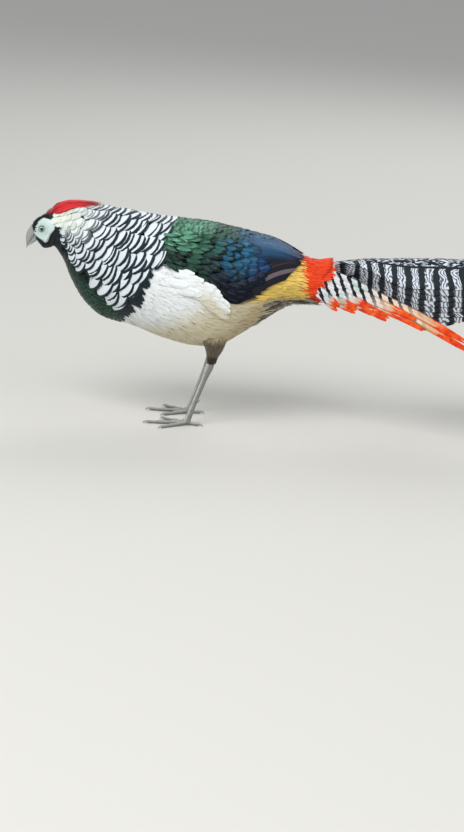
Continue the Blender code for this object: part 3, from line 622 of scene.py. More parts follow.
def underColourAndShade(u, degrees):
    # Colour of the skin under the feathers, close to theirs but darker: painted shade between the feathers, so that no
    # gap shows
    kind, angle = regionOf(u, degrees), sideAngle(degrees)
    if kind == "face":
        near = smooth(1.25 - eyeGap(onBody(u, degrees)) / 0.0125)
        return blend(plumage["face"], plumage["faceShade"], near)
    if kind == "cape":
        pale = min(1.0, 2.5 * napeShare(u, angle))
        return blend(shade(plumage["capeEdge"], 0.3), shade(plumage["nape"], -0.3), pale)
    if kind == "belly":
        return shade(bellyColour(u, angle), -0.2)
    if kind == "rump":
        return shade(rumpColour(u, angle), -0.35)
    if kind in ("mantle", "wing"):
        return shade(gloss(u, angle)[0], -0.6)
    return shade(plumage[kind], -0.3)


# Skin: one body from the bill's base to the tail's root, and the thighs
skin = {"around": 128, "headRows": 90, "bodyRows": 120, "headEnd": 0.5, "bodyLength": 13.5}


def onSkin(u, degrees):
    point = onBody(u, degrees, -coatDepth(u, degrees))
    x, z = point[..., 0], point[..., 2]
    inside = insideFace(x, z)
    angle = sideAngle(degrees)
    # The bare face stands up a little from its edge and is puckered; its lappet hangs at the chin
    pucker = np.sin(x * 5200 + np.sin(z * 2600) * 2) * np.sin(z * 4700) * (inside > 0)
    out = relief["swell"] * past(inside, "swell") + relief["pucker"] * pucker
    out = out + relief["lappet"] * past(inside, "lappet") * past(-z, "lappetTop")
    out = out + relief["socket"] * (1 - past(eyeGap(point), "socket"))
    out = out * ((u < 0.3) & (np.abs(angle) < 75))
    point[..., 1] += np.sign(point[..., 1]) * out * np.cos(np.radians(angle))
    return point


def addSheet(name, cells, places, surface, tone, atlas):
    # A closed sheet over a surface, with a colour on its points and a map for its finish
    bm = bmesh.new()
    tint, unwrap = bm.verts.layers.float_color.new("Tint"), bm.loops.layers.uv.new("OFBake")
    verts, flat = addGrid(bm, *cells)
    p, q = places(*flat)
    lay(verts, surface(p, q))
    for vert, a, b in zip(verts, p, q):
        vert[tint] = (*tone(a, b), 0.0)
    spots = dict(zip(verts, atlas(p, q)))
    for face in bm.faces:
        for loop in face.loops:
            loop[unwrap].uv = spots[loop.vert]
    return closeMesh(name, bm, merge=0.00002)


def skinPlaces(across, along):
    rows = skin["headRows"] + skin["bodyRows"]
    row = (along + 1) / 2 * rows
    u = np.where(row < skin["headRows"], -headStations + row / skin["headRows"] * (headStations + skin["headEnd"]),
                 skin["headEnd"] + (row - skin["headRows"]) / skin["bodyRows"] * skin["bodyLength"])
    return u, -90 + (across + 1) / 2 * 360


def skinPaint():
    paint = Paint("bare skin and down", Roughness=0.62)
    grain = paint.noise(900, 2.0)
    speckle = paint.noise(2600, 1.0).rise(0.60, 0.72)
    colour = paint.mix(speckle * 0.35, paint.attribute("Tint"), rgb(70, 96, 110))
    return paint.finish(paint.darken(grain * 0.5, colour, 0.35), grain, 0.5, 0.0004)


# Thighs: axis in the side view from the body down, radii along it, and how far out they stand
thigh = {"points": ((0.024, 0.140), (0.0285, 0.120), (0.0292, 0.104), (0.0275, 0.094), (0.0265, 0.084)),
         "radii": (0.0205, 0.0165, 0.0102, 0.0062, 0.0046), "y": 0.030, "inset": 0.012, "deep": -0.0012}


def onThigh(side):
    # The thigh as a surface: p runs down it from 0 to 4, q is degrees round it from the front
    points, stops = np.array(thigh["points"]), np.arange(5)

    def surface(p, q, lift=0.0):
        x, z = np.interp(p, stops, points[:, 0]), np.interp(p, stops, points[:, 1])
        radius = np.interp(p, stops, thigh["radii"]) + lift
        centre = side * (thigh["y"] - thigh["inset"] * past(-p, "inset"))
        return np.stack([x - radius * np.cos(np.radians(q)), centre + radius * np.sin(np.radians(q)), z], axis=-1)
    return surface


def thighAtlas(p, q):
    return np.stack([q / 360, p / 4], axis=-1)


# Colour down the thigh: the belly's colour darkened as painted shade under the body, then a shaded brown, and a dark
# garter at its foot
def shadedThighColour(down):
    top = shade(bellyColour(8.2, -50.0), -0.22)
    return blend(blend(top, plumage["thigh"], past(down, "thigh")), plumage["garter"], past(down, "garter"))


bareSkin = skinPaint()
finishPiece(addSheet("skin", (skin["around"], skin["headRows"] + skin["bodyRows"]), skinPlaces, onSkin, underColourAndShade,
                     lambda u, degrees: np.stack([(degrees + 90) / 360, (u + headStations) / 18], axis=-1)),
            bareSkin, "face_skin", "head", "neck", "torso", "rump", "thigh_left", "thigh_right")
for side in hands:
    # The thigh skin is darker still: painted shade under its feathers
    sheet = addSheet("thighSkin" + hands[side], (28, 24), lambda across, along: ((along + 1) * 2, across * 180),
                     lambda p, q: onThigh(side)(p, q, thigh["deep"]), lambda p, q: shade(shadedThighColour(p), -0.3),
                     lambda p, q: thighAtlas(p, q + 180))
    finishPiece(sheet, bareSkin, "thigh_feathers")
print("skin made")


# Paint for feathers: each vane's own colour, a darker or lighter rim, and fine barbs that slant to its tip
def featherPaint(name, roughness, sheen, barbs, metal, softness, shaftShare=0.06, rootShade=0.5, hem=0.22):
    paint = Paint(name, Sheen_Weight=sheen, Sheen_Roughness=0.5, Specular_IOR_Level=0.22)
    across, along = paint.vane()
    side = abs(across * 2 - 1)
    glossy, band = paint.attribute("Tint", "Alpha"), paint.attribute("Rim", "Alpha")
    barb = ((along * barbs - side * barbs * 0.35) * 6.283).sine()
    reach = along + side * side * hem + barb * 0.010 + (paint.noise(900, 1.0) - 0.5) * 0.05
    edge = reach.rise(1 - band, 1 - band + softness)
    shaft = side.rise(0.10, 0.02) * along.rise(0.95, 0.7)
    colour = paint.mix(edge, paint.attribute("Tint"), paint.attribute("Rim"))
    colour = paint.mix(shaft * shaftShare, colour, rgb(235, 230, 215))
    colour = paint.darken((barb * 0.5 + 0.5) * 0.16, colour, 0.6)
    colour = paint.darken(along.rise(0.40, 0.0) * rootShade, colour, 0.6)
    paint.set(Metallic=glossy * metal, Roughness=roughness - glossy * 0.2)
    return paint.finish(colour, barb * 0.5 + shaft * 1.5, 0.35)


def scatter(gap, pitch, first, last, seed):
    # Places over the body in staggered rows: gap from row to row, pitch from feather to feather
    draw = np.random.default_rng(seed).uniform
    degrees = np.linspace(-90, 270, 181)
    places, u, odd = [], first, 0
    while u < last:
        ring = onBody(np.full(181, u), degrees)
        arc = np.concatenate([[0], np.cumsum(np.linalg.norm(np.diff(ring, axis=0), axis=1))])
        count = max(3, int(arc[-1] / pitch))
        spots = (np.arange(count) + 0.5 * odd + draw(-0.22, 0.22, count)) / count * arc[-1]
        for angle in np.interp(spots % arc[-1], arc, degrees):
            places.append((u + draw(-0.22, 0.22) * gap / 0.03, angle))
        ahead = np.linalg.norm(onBody(u + 0.01, 0.0) - onBody(u - 0.01, 0.0)) / 0.02
        u += gap / max(ahead, 0.008)
        odd = 1 - odd
    return places, draw


def headedStep(u, degrees, slant, length):
    # Step in body coordinates for a feather that points back, turned slant degrees down its side
    ahead, over = slopes(onBody, bodySteps, u, degrees)
    down = -over if -90 < degrees < 90 else over
    across = unit(down - unit(ahead) * dot(unit(ahead), down))
    turn = math.radians(slant)
    return surfaceStep(ahead, over, (unit(ahead) * math.cos(turn) + across * math.sin(turn)) * length)


# Looks of the small feathers by place: slant down the side, length, half width, colours of vane and rim, and
# where they are not the coat's own, the heights and the rim's width. Small feathers of the head are a short plush.
def smallLook(kind, u, angle, draw):
    tint = shade(plumage[kind], draw(-0.3, 0.4))
    grown = ramp(u, -3.8, 3)
    return (25.0 if kind == "throat" else 4.0), mix(0.0042, 0.0075, grown), mix(0.0010, 0.0018, grown), tint, tint


def breastLook(kind, u, angle, draw):
    tint = shade(plumage["breast"], draw(-0.3, 0.5))
    rim = shade(plumage["breastRim"], draw(-0.4, 0.3))
    return 42.0, 0.0125, 0.0046, tint, blend(tint, rim, ramp(u, 1.2, 2.0))


def bellyLook(kind, u, angle, draw):
    # Long soft feathers, loosest and most ragged towards the vent
    if kind == "vent":
        dark = blend(plumage["vent"], plumage["cream"], draw(0, 1) ** 3)
        tint = shade(dark, draw(-0.4, 0.1))
        return draw(-4, 26), 0.024, 0.0034, tint, shade(tint, -0.2), (-0.0012, 0.0016, 0.0050), 0.2
    tint = shade(bellyColour(u, angle), draw(-0.10, 0.03))
    late = ramp(u, 7.4, 2)
    return 14.0, mix(0.019, 0.028, late), 0.0050, tint, shade(tint, 0.04), (-0.0012, 0.0004, mix(0.0006, 0.0022, late))


def mantleLook(kind, u, angle, draw):
    colour, rim = gloss(u + draw(-0.45, -0.15), angle)
    tint = shade(colour, draw(-0.3, 0.3))
    band = draw(0.08, 0.24) + 0.16 * draw(0, 1) * smooth((62 - angle) / 20)
    return draw(2, 14), 0.0185, 0.0074, tint, rim, (-0.0012, 0.0006, 0.0016), band


def rumpLook(kind, u, angle, draw):
    tint = shade(rumpColour(u + draw(-0.12, 0.12), angle), draw(-0.2, 0.08))
    return 9.0, 0.022, 0.0024, tint, shade(tint, 0.1)


softPaint = featherPaint("soft belly feathers", 0.75, 0.3, 40.0, 0.0, 0.2, 0.0, 0.1)
glossPaint = featherPaint("glossy green feathers", 0.42, 0.0, 60.0, 0.5, 0.10)
hairPaint = featherPaint("silky rump feathers", 0.5, 0.1, 30.0, 0.1, 0.3, 0.0, 0.3)

# Coats of small feathers: plumage covered, row gap, pitch, first and last station and seed, look, outline, cells,
# how far behind the root the tip shows, heights at root, quarter and tip, gloss, rim's width, paint and slot
coats = {
    "smallHeadFeathers": (("crown", "throat"), (0.0018, 0.0019, -3.9, 1.1, 3), smallLook, pointed, (3, 3), 0.0,
                          (-0.0006, 0.0006, 0.0010), 0.3, 0.0, glossPaint, "cape_feathers"),
    "breastFeathers": (("breast",), (0.0050, 0.0062, 0.3, 5.6, 4), breastLook, rounded, (5, 3), 0.0,
                       (-0.0012, 0.0004, 0.0012), 0.7, 0.16, glossPaint, "belly_feathers"),
    "bellyFeathers": (("belly", "vent"), (0.0052, 0.0054, 3.8, 13.3, 5), bellyLook, pointed, (5, 3), 0.4,
                      None, 0.0, 0.12, softPaint, "belly_feathers"),
    "mantleFeathers": (("mantle",), (0.0066, 0.0100, 4.6, 10.6, 6), mantleLook, rounded, (6, 5), 0.3,
                       None, 0.6, None, glossPaint, "wing_feathers"),
    "rumpFeathers": (("rump",), (0.0040, 0.0036, 9.0, 13.3, 7), rumpLook, pointed, (5, 3), 0.8,
                     (-0.0012, 0.0008, 0.0018), 0.05, 0.2, hairPaint, "rump_feathers"),
}
for name, (kinds, spread, look, outline, cells, shown, usual, glossy, rimmed, paint, slot) in coats.items():
    coat = Coat(name, outline, *cells, 0.2)
    places, draw = scatter(*spread)
    for u, degrees in places:
        kind = regionOf(u + shown, degrees)
        if kind in kinds:
            slant, length, half, tint, rim, *own = look(kind, u + shown, sideAngle(degrees), draw)
            root, quarter, tip = own[0] if own else usual
            dp, dq = headedStep(u, degrees, slant + draw(-9, 9), length * draw(0.88, 1.12))
            deep = coatDepth(u, degrees)
            heights = (root - deep, quarter - deep * 0.6, tip + draw(-0.0003, 0.0004))
            coat.add(u, degrees, dp, dq, half, heights, tint, rim, glossy, own[1] if len(own) > 1 else rimmed)
    finishPiece(coat.grow(), paint, slot)
print("body feathers grown")


# Cape: rows that slant down and forward on the sides, each feather white with a dark rim.
# Pitch and gap grow from the nape to the shoulder; at its rear edge narrow dark feathers make a ragged fringe.
cape = {"pitch": (0.0084, 0.0265), "gap": (0.0032, 0.0060), "first": -1.7, "last": 9.0, "slant": (0.012, 0.00002),
        "foot": -64, "half": 0.56, "longer": 0.004, "rowGap": 1.12, "past": (-0.10, 0.30), "rim": (0.215, 0.08)}
fringe = {"angles": np.arange(-62.0, 10.0, 2.3), "turn": 9, "retreat": 0.22, "half": 0.0036,
          "heights": (-0.004, -0.0004, 0.0008)}


def addCape():
    draw = np.random.default_rng(11).uniform
    coat = Coat("capeFeathers", scalloped, 7, 7, 0.06)
    tilt, bow = cape["slant"]
    top = cape["first"]
    while top < cape["last"]:
        angle = 90.0 - draw(0, 1) * 400 * mix(*cape["pitch"], past(top, "capeGrown"))
        while angle > cape["foot"]:
            down = 90 - angle
            u = top - tilt * down - bow * down**2 + draw(-0.07, 0.07)
            pitch, gap = (mix(*cape[key], past(u, "capeGrown")) for key in ("pitch", "gap"))
            ahead, over = slopes(onBody, bodySteps, u, angle)
            line = -ahead * (tilt + 2 * bow * down) - over
            heading = unit(np.cross(line, np.cross(ahead, over)))
            heading *= np.sign(heading[0])
            heading = unit(heading + unit(line) * draw(-0.14, 0.10))
            length = (gap * 2.0 + cape["longer"]) * draw(0.92, 1.08)
            dp, dq = surfaceStep(ahead, over, heading * length)
            half = pitch * cape["half"] * draw(0.86, 1.12)
            end = border("capeRear", angle + dq) + mix(*cape["past"], smooth(angle / 40))
            if regionOf(u, angle) == "cape" and u + dp < end:
                addCapeFeather(coat, draw, u, angle, dp, dq, half)
                if angle < 88:
                    addCapeFeather(coat, draw, u, 180 - angle, dp, -dq, half)
            angle -= pitch * draw(0.84, 1.12) / np.linalg.norm(line)
        stretch = slopes(onBody, bodySteps, min(max(top, -1.0), 5.0), 90.0)[0]
        top += mix(*cape["gap"], past(top, "capeGrown")) * cape["rowGap"] / np.linalg.norm(stretch)
    for angle in fringe["angles"]:
        for layer in range(2):
            tip = border("capeRear", angle) + draw(-0.16, 0.14) - fringe["retreat"] * ramp(angle, -30, 35)
            long = draw(0.7, 0.9)
            dark = shade(plumage["capeEdge"], draw(-0.4, 0.2))
            coat.pair(tip - long, angle + fringe["turn"], long, -fringe["turn"], fringe["half"], fringe["heights"],
                      dark, dark, 0.0, 0.1)
    return coat


def addCapeFeather(coat, draw, u, angle, dp, dq, half):
    # Creamy and nearly plain on the nape, black-edged further down
    nape = napeShare(u, sideAngle(angle))
    white = shade(blend(plumage["cape"], plumage["nape"], nape), draw(-0.12, 0.02))
    dark = shade(plumage["capeEdge"], draw(-0.4, 0.4))
    rim = blend(dark, white, min(0.85, 1.35 * nape**1.15))
    band = mix(*cape["rim"], nape) + draw(-0.035, 0.06)
    heights = (-0.001 - coatDepth(u, angle), 0.0002, 0.0018 + draw(-0.0003, 0.0006))
    coat.add(u, angle, dp, dq, half, heights, white, rim, 0.0, band)


capePaint = featherPaint("white cape feathers", 0.5, 0.1, 46.0, 0.0, 0.03, 0.0)
finishPiece(addCape().grow(), capePaint, "cape_feathers")
print("cape grown")


# Folded wings: scale-like coverts in rows, then the long flight feathers in a stack. Places are stations and
# shares of the way from the wing's lower edge to its upper one.
wing = {"columns": 9, "tiers": 10, "first": 5.35, "last": 9.3, "long": (0.66, 1.05), "root": -0.0045,
        "low": -0.0012, "high": 0.0010, "rise": (0.0022, 0.0002)}
primaries = {"count": 7, "pale": (3, 4), "shares": (0.03, 0.045), "start": 8.6, "end": (11.2, 0.11),
             "half": 0.0050, "root": -0.003, "rise": (0.0010, 0.0003), "high": 0.0006}
secondaries = {"count": 9, "shares": (0.40, 0.97), "start": 7.9, "end": (9.7, 2.3), "half": 0.0082, "root": -0.004,
               "rise": (0.0020, 0.00016), "high": 0.0004}


def wingPlace(u, share):
    return mix(*wingEdges(u), share)


def addWing(side):
    turn = (lambda a: a) if side < 0 else (lambda a: 180 - a)
    draw = np.random.default_rng(21).uniform
    coat = Coat("wingCoverts" + hands[side], rounded, 6, 5, 0.14)
    for tier in range(wing["tiers"]):
        for k in range(wing["columns"]):
            start = mix(wing["first"], wing["last"], (tier + draw(-0.42, 0.42)) / wing["tiers"])
            share = (k + 0.25 + 0.5 * (tier % 2) + draw(-0.28, 0.28)) / wing["columns"]
            long = mix(*wing["long"], tier / wing["tiers"]) * draw(0.90, 1.10)
            if start + long > mix(9.0, 10.3, min(share / 0.4, 1)) - 0.7 * ramp(share, 0.55, 0.25):
                continue
            a, b = wingPlace(start, share), wingPlace(start + long, share + draw(-0.01, 0.02))
            low, high = wingEdges(start)
            wide = np.linalg.norm(onBody(start, a + 1) - onBody(start, a)) * (high - low) / wing["columns"]
            colour, rim = gloss(start + long * 0.6, mix(a, b, 0.6))
            rise = nth(wing["rise"], k)
            coat.add(start, turn(a), long, (b - a) * -side, wide * draw(0.58, 0.70),
                     (wing["root"], rise + wing["low"], rise + wing["high"]), shade(colour, draw(-0.3, 0.3)),
                     rim, 0.65, draw(0.10, 0.36), 0.05 * side)
    flight = Coat("flightFeathers" + hands[side], squared, 14, 5, 0.06)

    def fly(plan, k, share, end, tipShare, *look):
        start, rise = plan["start"], nth(plan["rise"], k)
        a, b = wingPlace(start, share), wingPlace(end, tipShare)
        flight.add(start, turn(a), end - start, (b - a) * -side, plan["half"],
                   (plan["root"], rise, rise + plan["high"]), *look)

    for k in range(primaries["count"]):
        share = nth(primaries["shares"], k)
        vane = plumage["flight" if k in primaries["pale"] else "flightRim"]
        fly(primaries, k, share, nth(primaries["end"], k), share * 0.6, vane, plumage["flightRim"], 0.1, 0.10)
    for k in range(secondaries["count"]):
        share = mix(*secondaries["shares"], k / (secondaries["count"] - 1))
        end = nth(secondaries["end"], math.sin(share * math.pi / 2) ** 0.8)
        vane = shade(blend(plumage["navy"], plumage["azure"], past(share, "azure")), draw(-0.52, -0.28))
        fly(secondaries, k, share, end, mix(share, 0.75, 0.15), vane, plumage["dusk"], 0.5, 0.42, 0.10 * side)
    return coat, flight


wingPaint = featherPaint("blue wing feathers", 0.38, 0.0, 60.0, 0.5, 0.10)
flightPaint = featherPaint("flight feathers", 0.42, 0.0, 60.0, 0.4, 0.45, hem=0.03)
for side in hands:
    for coat, paint in zip(addWing(side), (wingPaint, flightPaint)):
        finishPiece(coat.grow(), paint, "wing_feathers", "wing_" + hands[side].lower())
print("wings folded")


# White flank feathers that lie loosely over the wing's lower edge
flank = {"count": 110, "stations": (5.7, 7.4), "below": (2, 17), "long": (0.7, 1.0), "half": 0.0036,
         "root": -0.004, "quarter": 0.0012, "tip": (0.0030, 0.0042), "whiter": 0.0008}


def addFlank():
    draw = np.random.default_rng(25).uniform
    coat = Coat("flankFeathers", rounded, 8, 5, 0.2)
    for k in range(flank["count"]):
        u = draw(*flank["stations"])
        away = draw(*flank["below"])
        angle = wingEdges(u)[0] - away
        long = draw(*flank["long"])
        over = draw(-2.0, 3.0) - 12 * ramp(u, 6.2, 1.2)
        creamy = 0.8 * ramp(away, 6, 9) * ramp(u, 6.0, 0.9)
        tint = shade(blend(bellyColour(u - 1.0, angle), plumage["cream"], creamy), draw(-0.08, 0.02))
        high = draw(*flank["tip"]) + flank["whiter"] * (1 - creamy)
        coat.pair(u, angle, long, over, flank["half"], (flank["root"], flank["quarter"], high), tint,
                  shade(tint, 0.03), 0.0, 0.1)
    return coat


finishPiece(addFlank().grow(), softPaint, "belly_feathers")

# Tail: nine feathers on each side, the middle pair longest and on top. Each feather's half width, the way its
# middle line spreads and its depth under the roof change with its number.
tail = {"length": 0.765, "pairs": 9, "root": 0.016, "narrow": 0.003, "middle": 0.0248, "outer": (0.0205, -0.0006),
        "line": (0.0035, 0.0017), "spread": (0.030, 0.008), "depth": (0.0010, 0.0021), "rootDepth": 0.0018,
        "camber": 0.0009, "wave": 0.0004, "thick": 0.0005}


def tailHalf(d, length, wide):
    t = d / length
    body = mix(tail["narrow"], wide, ramp(d, 0.012, 0.11)) * (1 - 0.30 * ramp(t, 0.35, 0.5))
    return body * np.sqrt(np.clip(1 - np.clip((t - 0.80) / 0.2005, 0, 1) ** 2, 0.004, 1))


def addTailFeather(i, side):
    length = tail["length"] * math.exp(-0.34 * i**0.75)
    line, spread, depth, wide = (nth(tail[key], i) for key in ("line", "spread", "depth", "outer"))
    bm = bmesh.new()
    vane, patch = bm.loops.layers.uv.new("Vane"), bm.loops.layers.uv.new("OFBake")
    verts, (v, t) = addGrid(bm, 8, max(24, int(length / 0.006)))
    d = mix(tail["root"], length, (t + 1) / 2)
    half = tailHalf(d, length, wide if i else tail["middle"])
    centre = mix(line, spread, ramp(d, 0.012, 0.14)) if i else half + 0.0002
    wave = tail["wave"] * np.sin(d * 150 + v * 2 + i) * np.abs(v)
    lift = wave + 0.0004 - depth - tail["rootDepth"] * (1 - smooth(d / 0.05))
    lift = lift + tail["camber"] * (1 - v**2) * smooth(d / 0.08)
    lay(verts, onTail(d, side * (centre + half * v), lift))
    column = (i * 2 + (side > 0) + 0.5) / (tail["pairs"] * 2)
    places = {vert: (across, down) for vert, across, down in zip(verts, v, d)}
    for face in bm.faces:
        for loop in face.loops:
            across, down = places[loop.vert]
            loop[vane].uv = ((across + 1) / 2, down)
            loop[patch].uv = (column + across * 0.022, 0.02 + down * 1.2)
    if side > 0:
        bmesh.ops.reverse_faces(bm, faces=bm.faces[:])
    bmesh.ops.solidify(bm, geom=bm.faces[:], thickness=tail["thick"])
    return closeMesh(f"tailFeather{hands[side]}{i}", bm, sharp=60)


def tailPaint(name, ground, dark, middle):
    # Barred vane: bold bars down its length with wavy fine lines between them. The middle pair's upper half
    # is netted, and a dark line follows the shaft between the halves.
    paint = Paint(name, Roughness=0.5, Specular_IOR_Level=0.25)
    across, along = paint.vane()
    toRidge = across.rise(0.40, 0.36) if middle else across * 0
    side = abs(across * 2 - 1)
    wander, fine = paint.noise(60, 2.0) - 0.5, paint.noise(300, 2.0) - 0.5
    slant = along - side * 0.004 + wander * 0.008 + (paint.noise(16, 1.0) - 0.5) * 0.012
    bar = ((slant * (6.2832 / 0.0176)).sine() + fine * 0.9).rise(0.0, 0.30)
    bend = wander * (22 if middle else 12) + (across * (24 if middle else 9)).sine() * 1.4
    ripple = ((slant * 1428 + bend).sine() + fine * 3.0).rise(0.05, 0.40)
    net = paint.noise(330, 2.0, paint.stretched((0.5, 1.0, 1.0))).rise(0.43, 0.49)
    pattern = bar.most(ripple * 0.85) * (1 - toRidge) + net.most(bar * 0.5) * toRidge
    line = abs(across - 0.40).rise(0.045, 0.025) if middle else side.rise(0.05, 0.02)
    colour = paint.mix(paint.noise(18, 2.0) * 0.6, ground, shade(ground, -0.2))
    barb = (along * 3800 - side * 60).sine()
    return paint.finish(paint.mix(pattern.most(line), colour, dark), barb * 0.4 + line * 2.0, 0.4)


middlePaint = tailPaint("barred middle tail feathers", rgb(214, 222, 232), rgb(8, 22, 28), True)
outerPaint = tailPaint("barred outer tail feathers", rgb(192, 196, 204), rgb(10, 20, 24), False)
for i in range(tail["pairs"]):
    for side in hands:
        finishPiece(addTailFeather(i, side), outerPaint if i else middlePaint, "tail_feathers", "tail")
print("tail laid")


# Coverts over the tail's root: short flame ones on top and long drooping ones with striped bases
tailCoverts = {"rows": 7, "columns": range(-13, 14), "start": (-0.030, 0.0040), "pitch": 0.0036,
               "widest": 0.050, "reach": 0.013, "shorter": 0.010, "longer": 0.016, "least": 0.008,
               "half": 0.0026, "root": -0.003, "lift": (0.0022, 0.0002), "quarter": -0.0010}


def addTailCoverts():
    draw = np.random.default_rng(31).uniform
    plan = tailCoverts
    coat = Coat("shortTailCoverts", pointed, 6, 3, 0.2, onTail, tailSteps)
    for row in range(plan["rows"]):
        start, lift = nth(plan["start"], row), nth(plan["lift"], row)
        for k in plan["columns"]:
            s = (k + 0.5 * (row % 2)) * plan["pitch"] + draw(-0.0009, 0.0009)
            far = abs(s)
            if far > plan["widest"]:
                continue
            tint = shade(plumage["flame"], draw(-0.22, 0.06))
            reach = plan["reach"] - plan["shorter"] * ramp(far, 0.016, 0.014)
            long = reach + plan["longer"] * ramp(far, 0.036, 0.012) - start - draw(0, 0.004)
            if long > plan["least"]:
                coat.add(start, s, long, s * 0.10, plan["half"], (plan["root"], lift + plan["quarter"], lift), tint,
                         plumage["flameEdge"], 0.05, 0.2)
    return coat


# Rows of long coverts: tip's reach and drop, root's drop, and how many feathers
longCoverts = (
    (0.198, 0.136, 0.020, 2), (0.188, 0.124, 0.016, 2), (0.132, 0.109, 0.028, 3), (0.120, 0.098, 0.024, 4),
    (0.086, 0.092, 0.034, 4), (0.068, 0.082, 0.036, 5), (0.047, 0.078, 0.042, 5), (0.030, 0.074, 0.045, 6),
)
longCovert = {"start": -0.004, "half": 0.0040, "root": -0.0040, "quarter": 0.7, "high": (0.0018, 0.00045),
              "higher": 0.0004, "apart": 0.0012}


def addLongCoverts():
    draw = np.random.default_rng(32).uniform
    coat = Coat("longTailCoverts", drooping, 22, 5, 0.2, onTail, tailSteps)
    for side in hands:
        for k, (reach, drop, root, count) in enumerate(longCoverts):
            for extra in range(count):
                end = reach * draw(0.93, 1.02)
                low = drop + draw(-0.0040, 0.0030) - longCovert["apart"] * extra
                start = root + draw(-0.006, 0.006)
                first = longCovert["start"] + draw(-0.004, 0.006)
                high = nth(longCovert["high"], k) + longCovert["higher"] * extra
                heights = (longCovert["root"], high * longCovert["quarter"], high)
                coat.add(first, side * start, end - first, side * (low - start), longCovert["half"], heights,
                         plumage["cape"], plumage["flame"])
    return coat


def longCovertPaint():
    # White, mint and peach with dark stripes that run on from feather to feather, and flame-coloured tips
    paint = Paint("long tail coverts", Roughness=0.55, Specular_IOR_Level=0.2)
    across, along = paint.vane()
    side = abs(across * 2 - 1)
    x, _, z = paint.split(paint.place())
    x, z = x - home.x, z - home.z
    wander = paint.noise(120, 2.0)
    stripe = (x * 560 + z * 260 + (wander - 0.5) * 2.4 - side * 0.8).sine().rise(0.15, 0.45)
    near = along + side * 0.08 + (wander - 0.5) * 0.14
    colour = paint.mix(paint.noise(90, 1.0).rise(0.48, 0.72), rgb(222, 220, 224), rgb(176, 206, 200))
    peach = paint.mix(side.rise(0.30, 0.85), rgb(236, 210, 188), rgb(146, 116, 100))
    flame = paint.mix(wander.rise(0.3, 0.7), rgb(238, 90, 8), rgb(212, 44, 10))
    for share, layer in (
            (x.rise(0.200, 0.260), peach),
            (stripe * along.rise(0.80, 0.45), rgb(10, 22, 28)),
            (near.rise(0.62, 0.78) * 0.6, rgb(206, 138, 70)),
            (near.rise(0.77, 0.85), flame),
            (side.rise(0.12, 0.03) * 0.3, rgb(90, 40, 20)),
            (side.rise(0.72, 0.95) * 0.4, rgb(50, 40, 36))):
        colour = paint.mix(share, colour, layer)
    return paint.finish(colour, (along * 200 - side * 60).sine(), 0.35)


flamePaint = featherPaint("flame tail coverts", 0.55, 0.0, 24.0, 0.0, 0.3, 0.0)
finishPiece(addTailCoverts().grow(), flamePaint, "rump_feathers")
finishPiece(addLongCoverts().grow(), longCovertPaint(), "rump_feathers")
print("tail coverts grown")

# Thigh feathers in rings from the belly down, from many long ones to few short ones
trousers = {"rings": 21, "apart": 0.175, "count": (34, 12), "long": (0.62, 0.40), "half": (0.0032, 0.0019),
            "end": 4.05, "heights": (-0.0016, 0.0002, 0.0010)}
for side in hands:
    draw = np.random.default_rng(41).uniform
    coat = Coat("thighFeathers" + hands[side], pointed, 4, 3, 0.2, onThigh(side), (0.01, 1.0))
    for row in range(trousers["rings"]):
        p = row * trousers["apart"]
        count = int(mix(*trousers["count"], smooth(p / 3.5)))
        for k in range(count):
            q = (k + 0.5 * (row % 2) + draw(-0.2, 0.2)) * 360 / count
            tint = shade(shadedThighColour(p + 0.3), draw(-0.3, 0.25))
            long = min(mix(*trousers["long"], smooth(p / 3.4)), trousers["end"] - p)
            coat.add(p, q, long, draw(-6, 6), mix(*trousers["half"], p / 4), trousers["heights"],
                     tint, tint, 0.0, 0.1)
    finishPiece(coat.grow(thighAtlas), softPaint, "thigh_feathers")

# Crest: silky strands in a low band from the crown over the nape, greyish pink and thin in front.
# Pairs of numbers hold for its lowest and its highest layer.
crest = {"count": 300, "root": (-0.1900, -0.2030), "aside": (0.0135, 0.0045), "tip": (-0.1500, -0.1260),
         "high": (0.0022, 0.0080), "half": 0.00115, "base": -0.0012}


def addCrest():
    draw = np.random.default_rng(51).uniform
    coat = Coat("crestFeathers", pointed, 12, 3, 0.3, onCrown, tailSteps)
    for k in range(crest["count"]):
        layer = draw(0, 1)
        root = mix(*crest["root"], layer) + draw(-0.0015, 0.0015)
        y = draw(-1, 1) * mix(*crest["aside"], layer)
        tip = mix(*crest["tip"], draw(0, 1)) - abs(y) * 0.5
        high = mix(*crest["high"], layer) * draw(0.9, 1.05)
        kind, length, quarter, end = ("crestFront", 0.30, 0.45, 0.50) if layer > 0.86 else ("crest", 1, 1.02, 0.70)
        tint = shade(plumage[kind], draw(-0.25, 0.2))
        coat.add(root, y, (tip - root) * length, y * draw(-0.4, 0.1), crest["half"],
                 (crest["base"], high * quarter, high * end), tint,
                 blend(tint, plumage["crestFront"], 0.45), 0.1, 0.2)
    return coat


crestPaint = featherPaint("red crest", 0.42, 0.3, 30.0, 0.0, 0.3, 0.0)
finishPiece(addCrest().grow(lambda x, y: np.stack([(x + 0.21) * 8, y * 20 + 0.5], axis=-1)), crestPaint,
            "cape_feathers")
print("crest grown")


# Bill: two halves that meet in the line of the mouth, with a nostril in the upper one. Each runs from two places
# on the face, as shares of the way from its top to its chin, to a tip in the side view.
billHalves = {
    "upper": {"from": (0.02, 0.66), "tip": (-0.2255, 0.2165), "width": 0.0056, "arch": 0.0042, "keep": -1,
              "nostril": 0.0012},
    "lower": {"from": (0.69, 0.96), "tip": (-0.2236, 0.2182), "width": 0.0046, "arch": 0.0, "keep": 1,
              "nostril": 0.0},
}
billClear = 0.0005


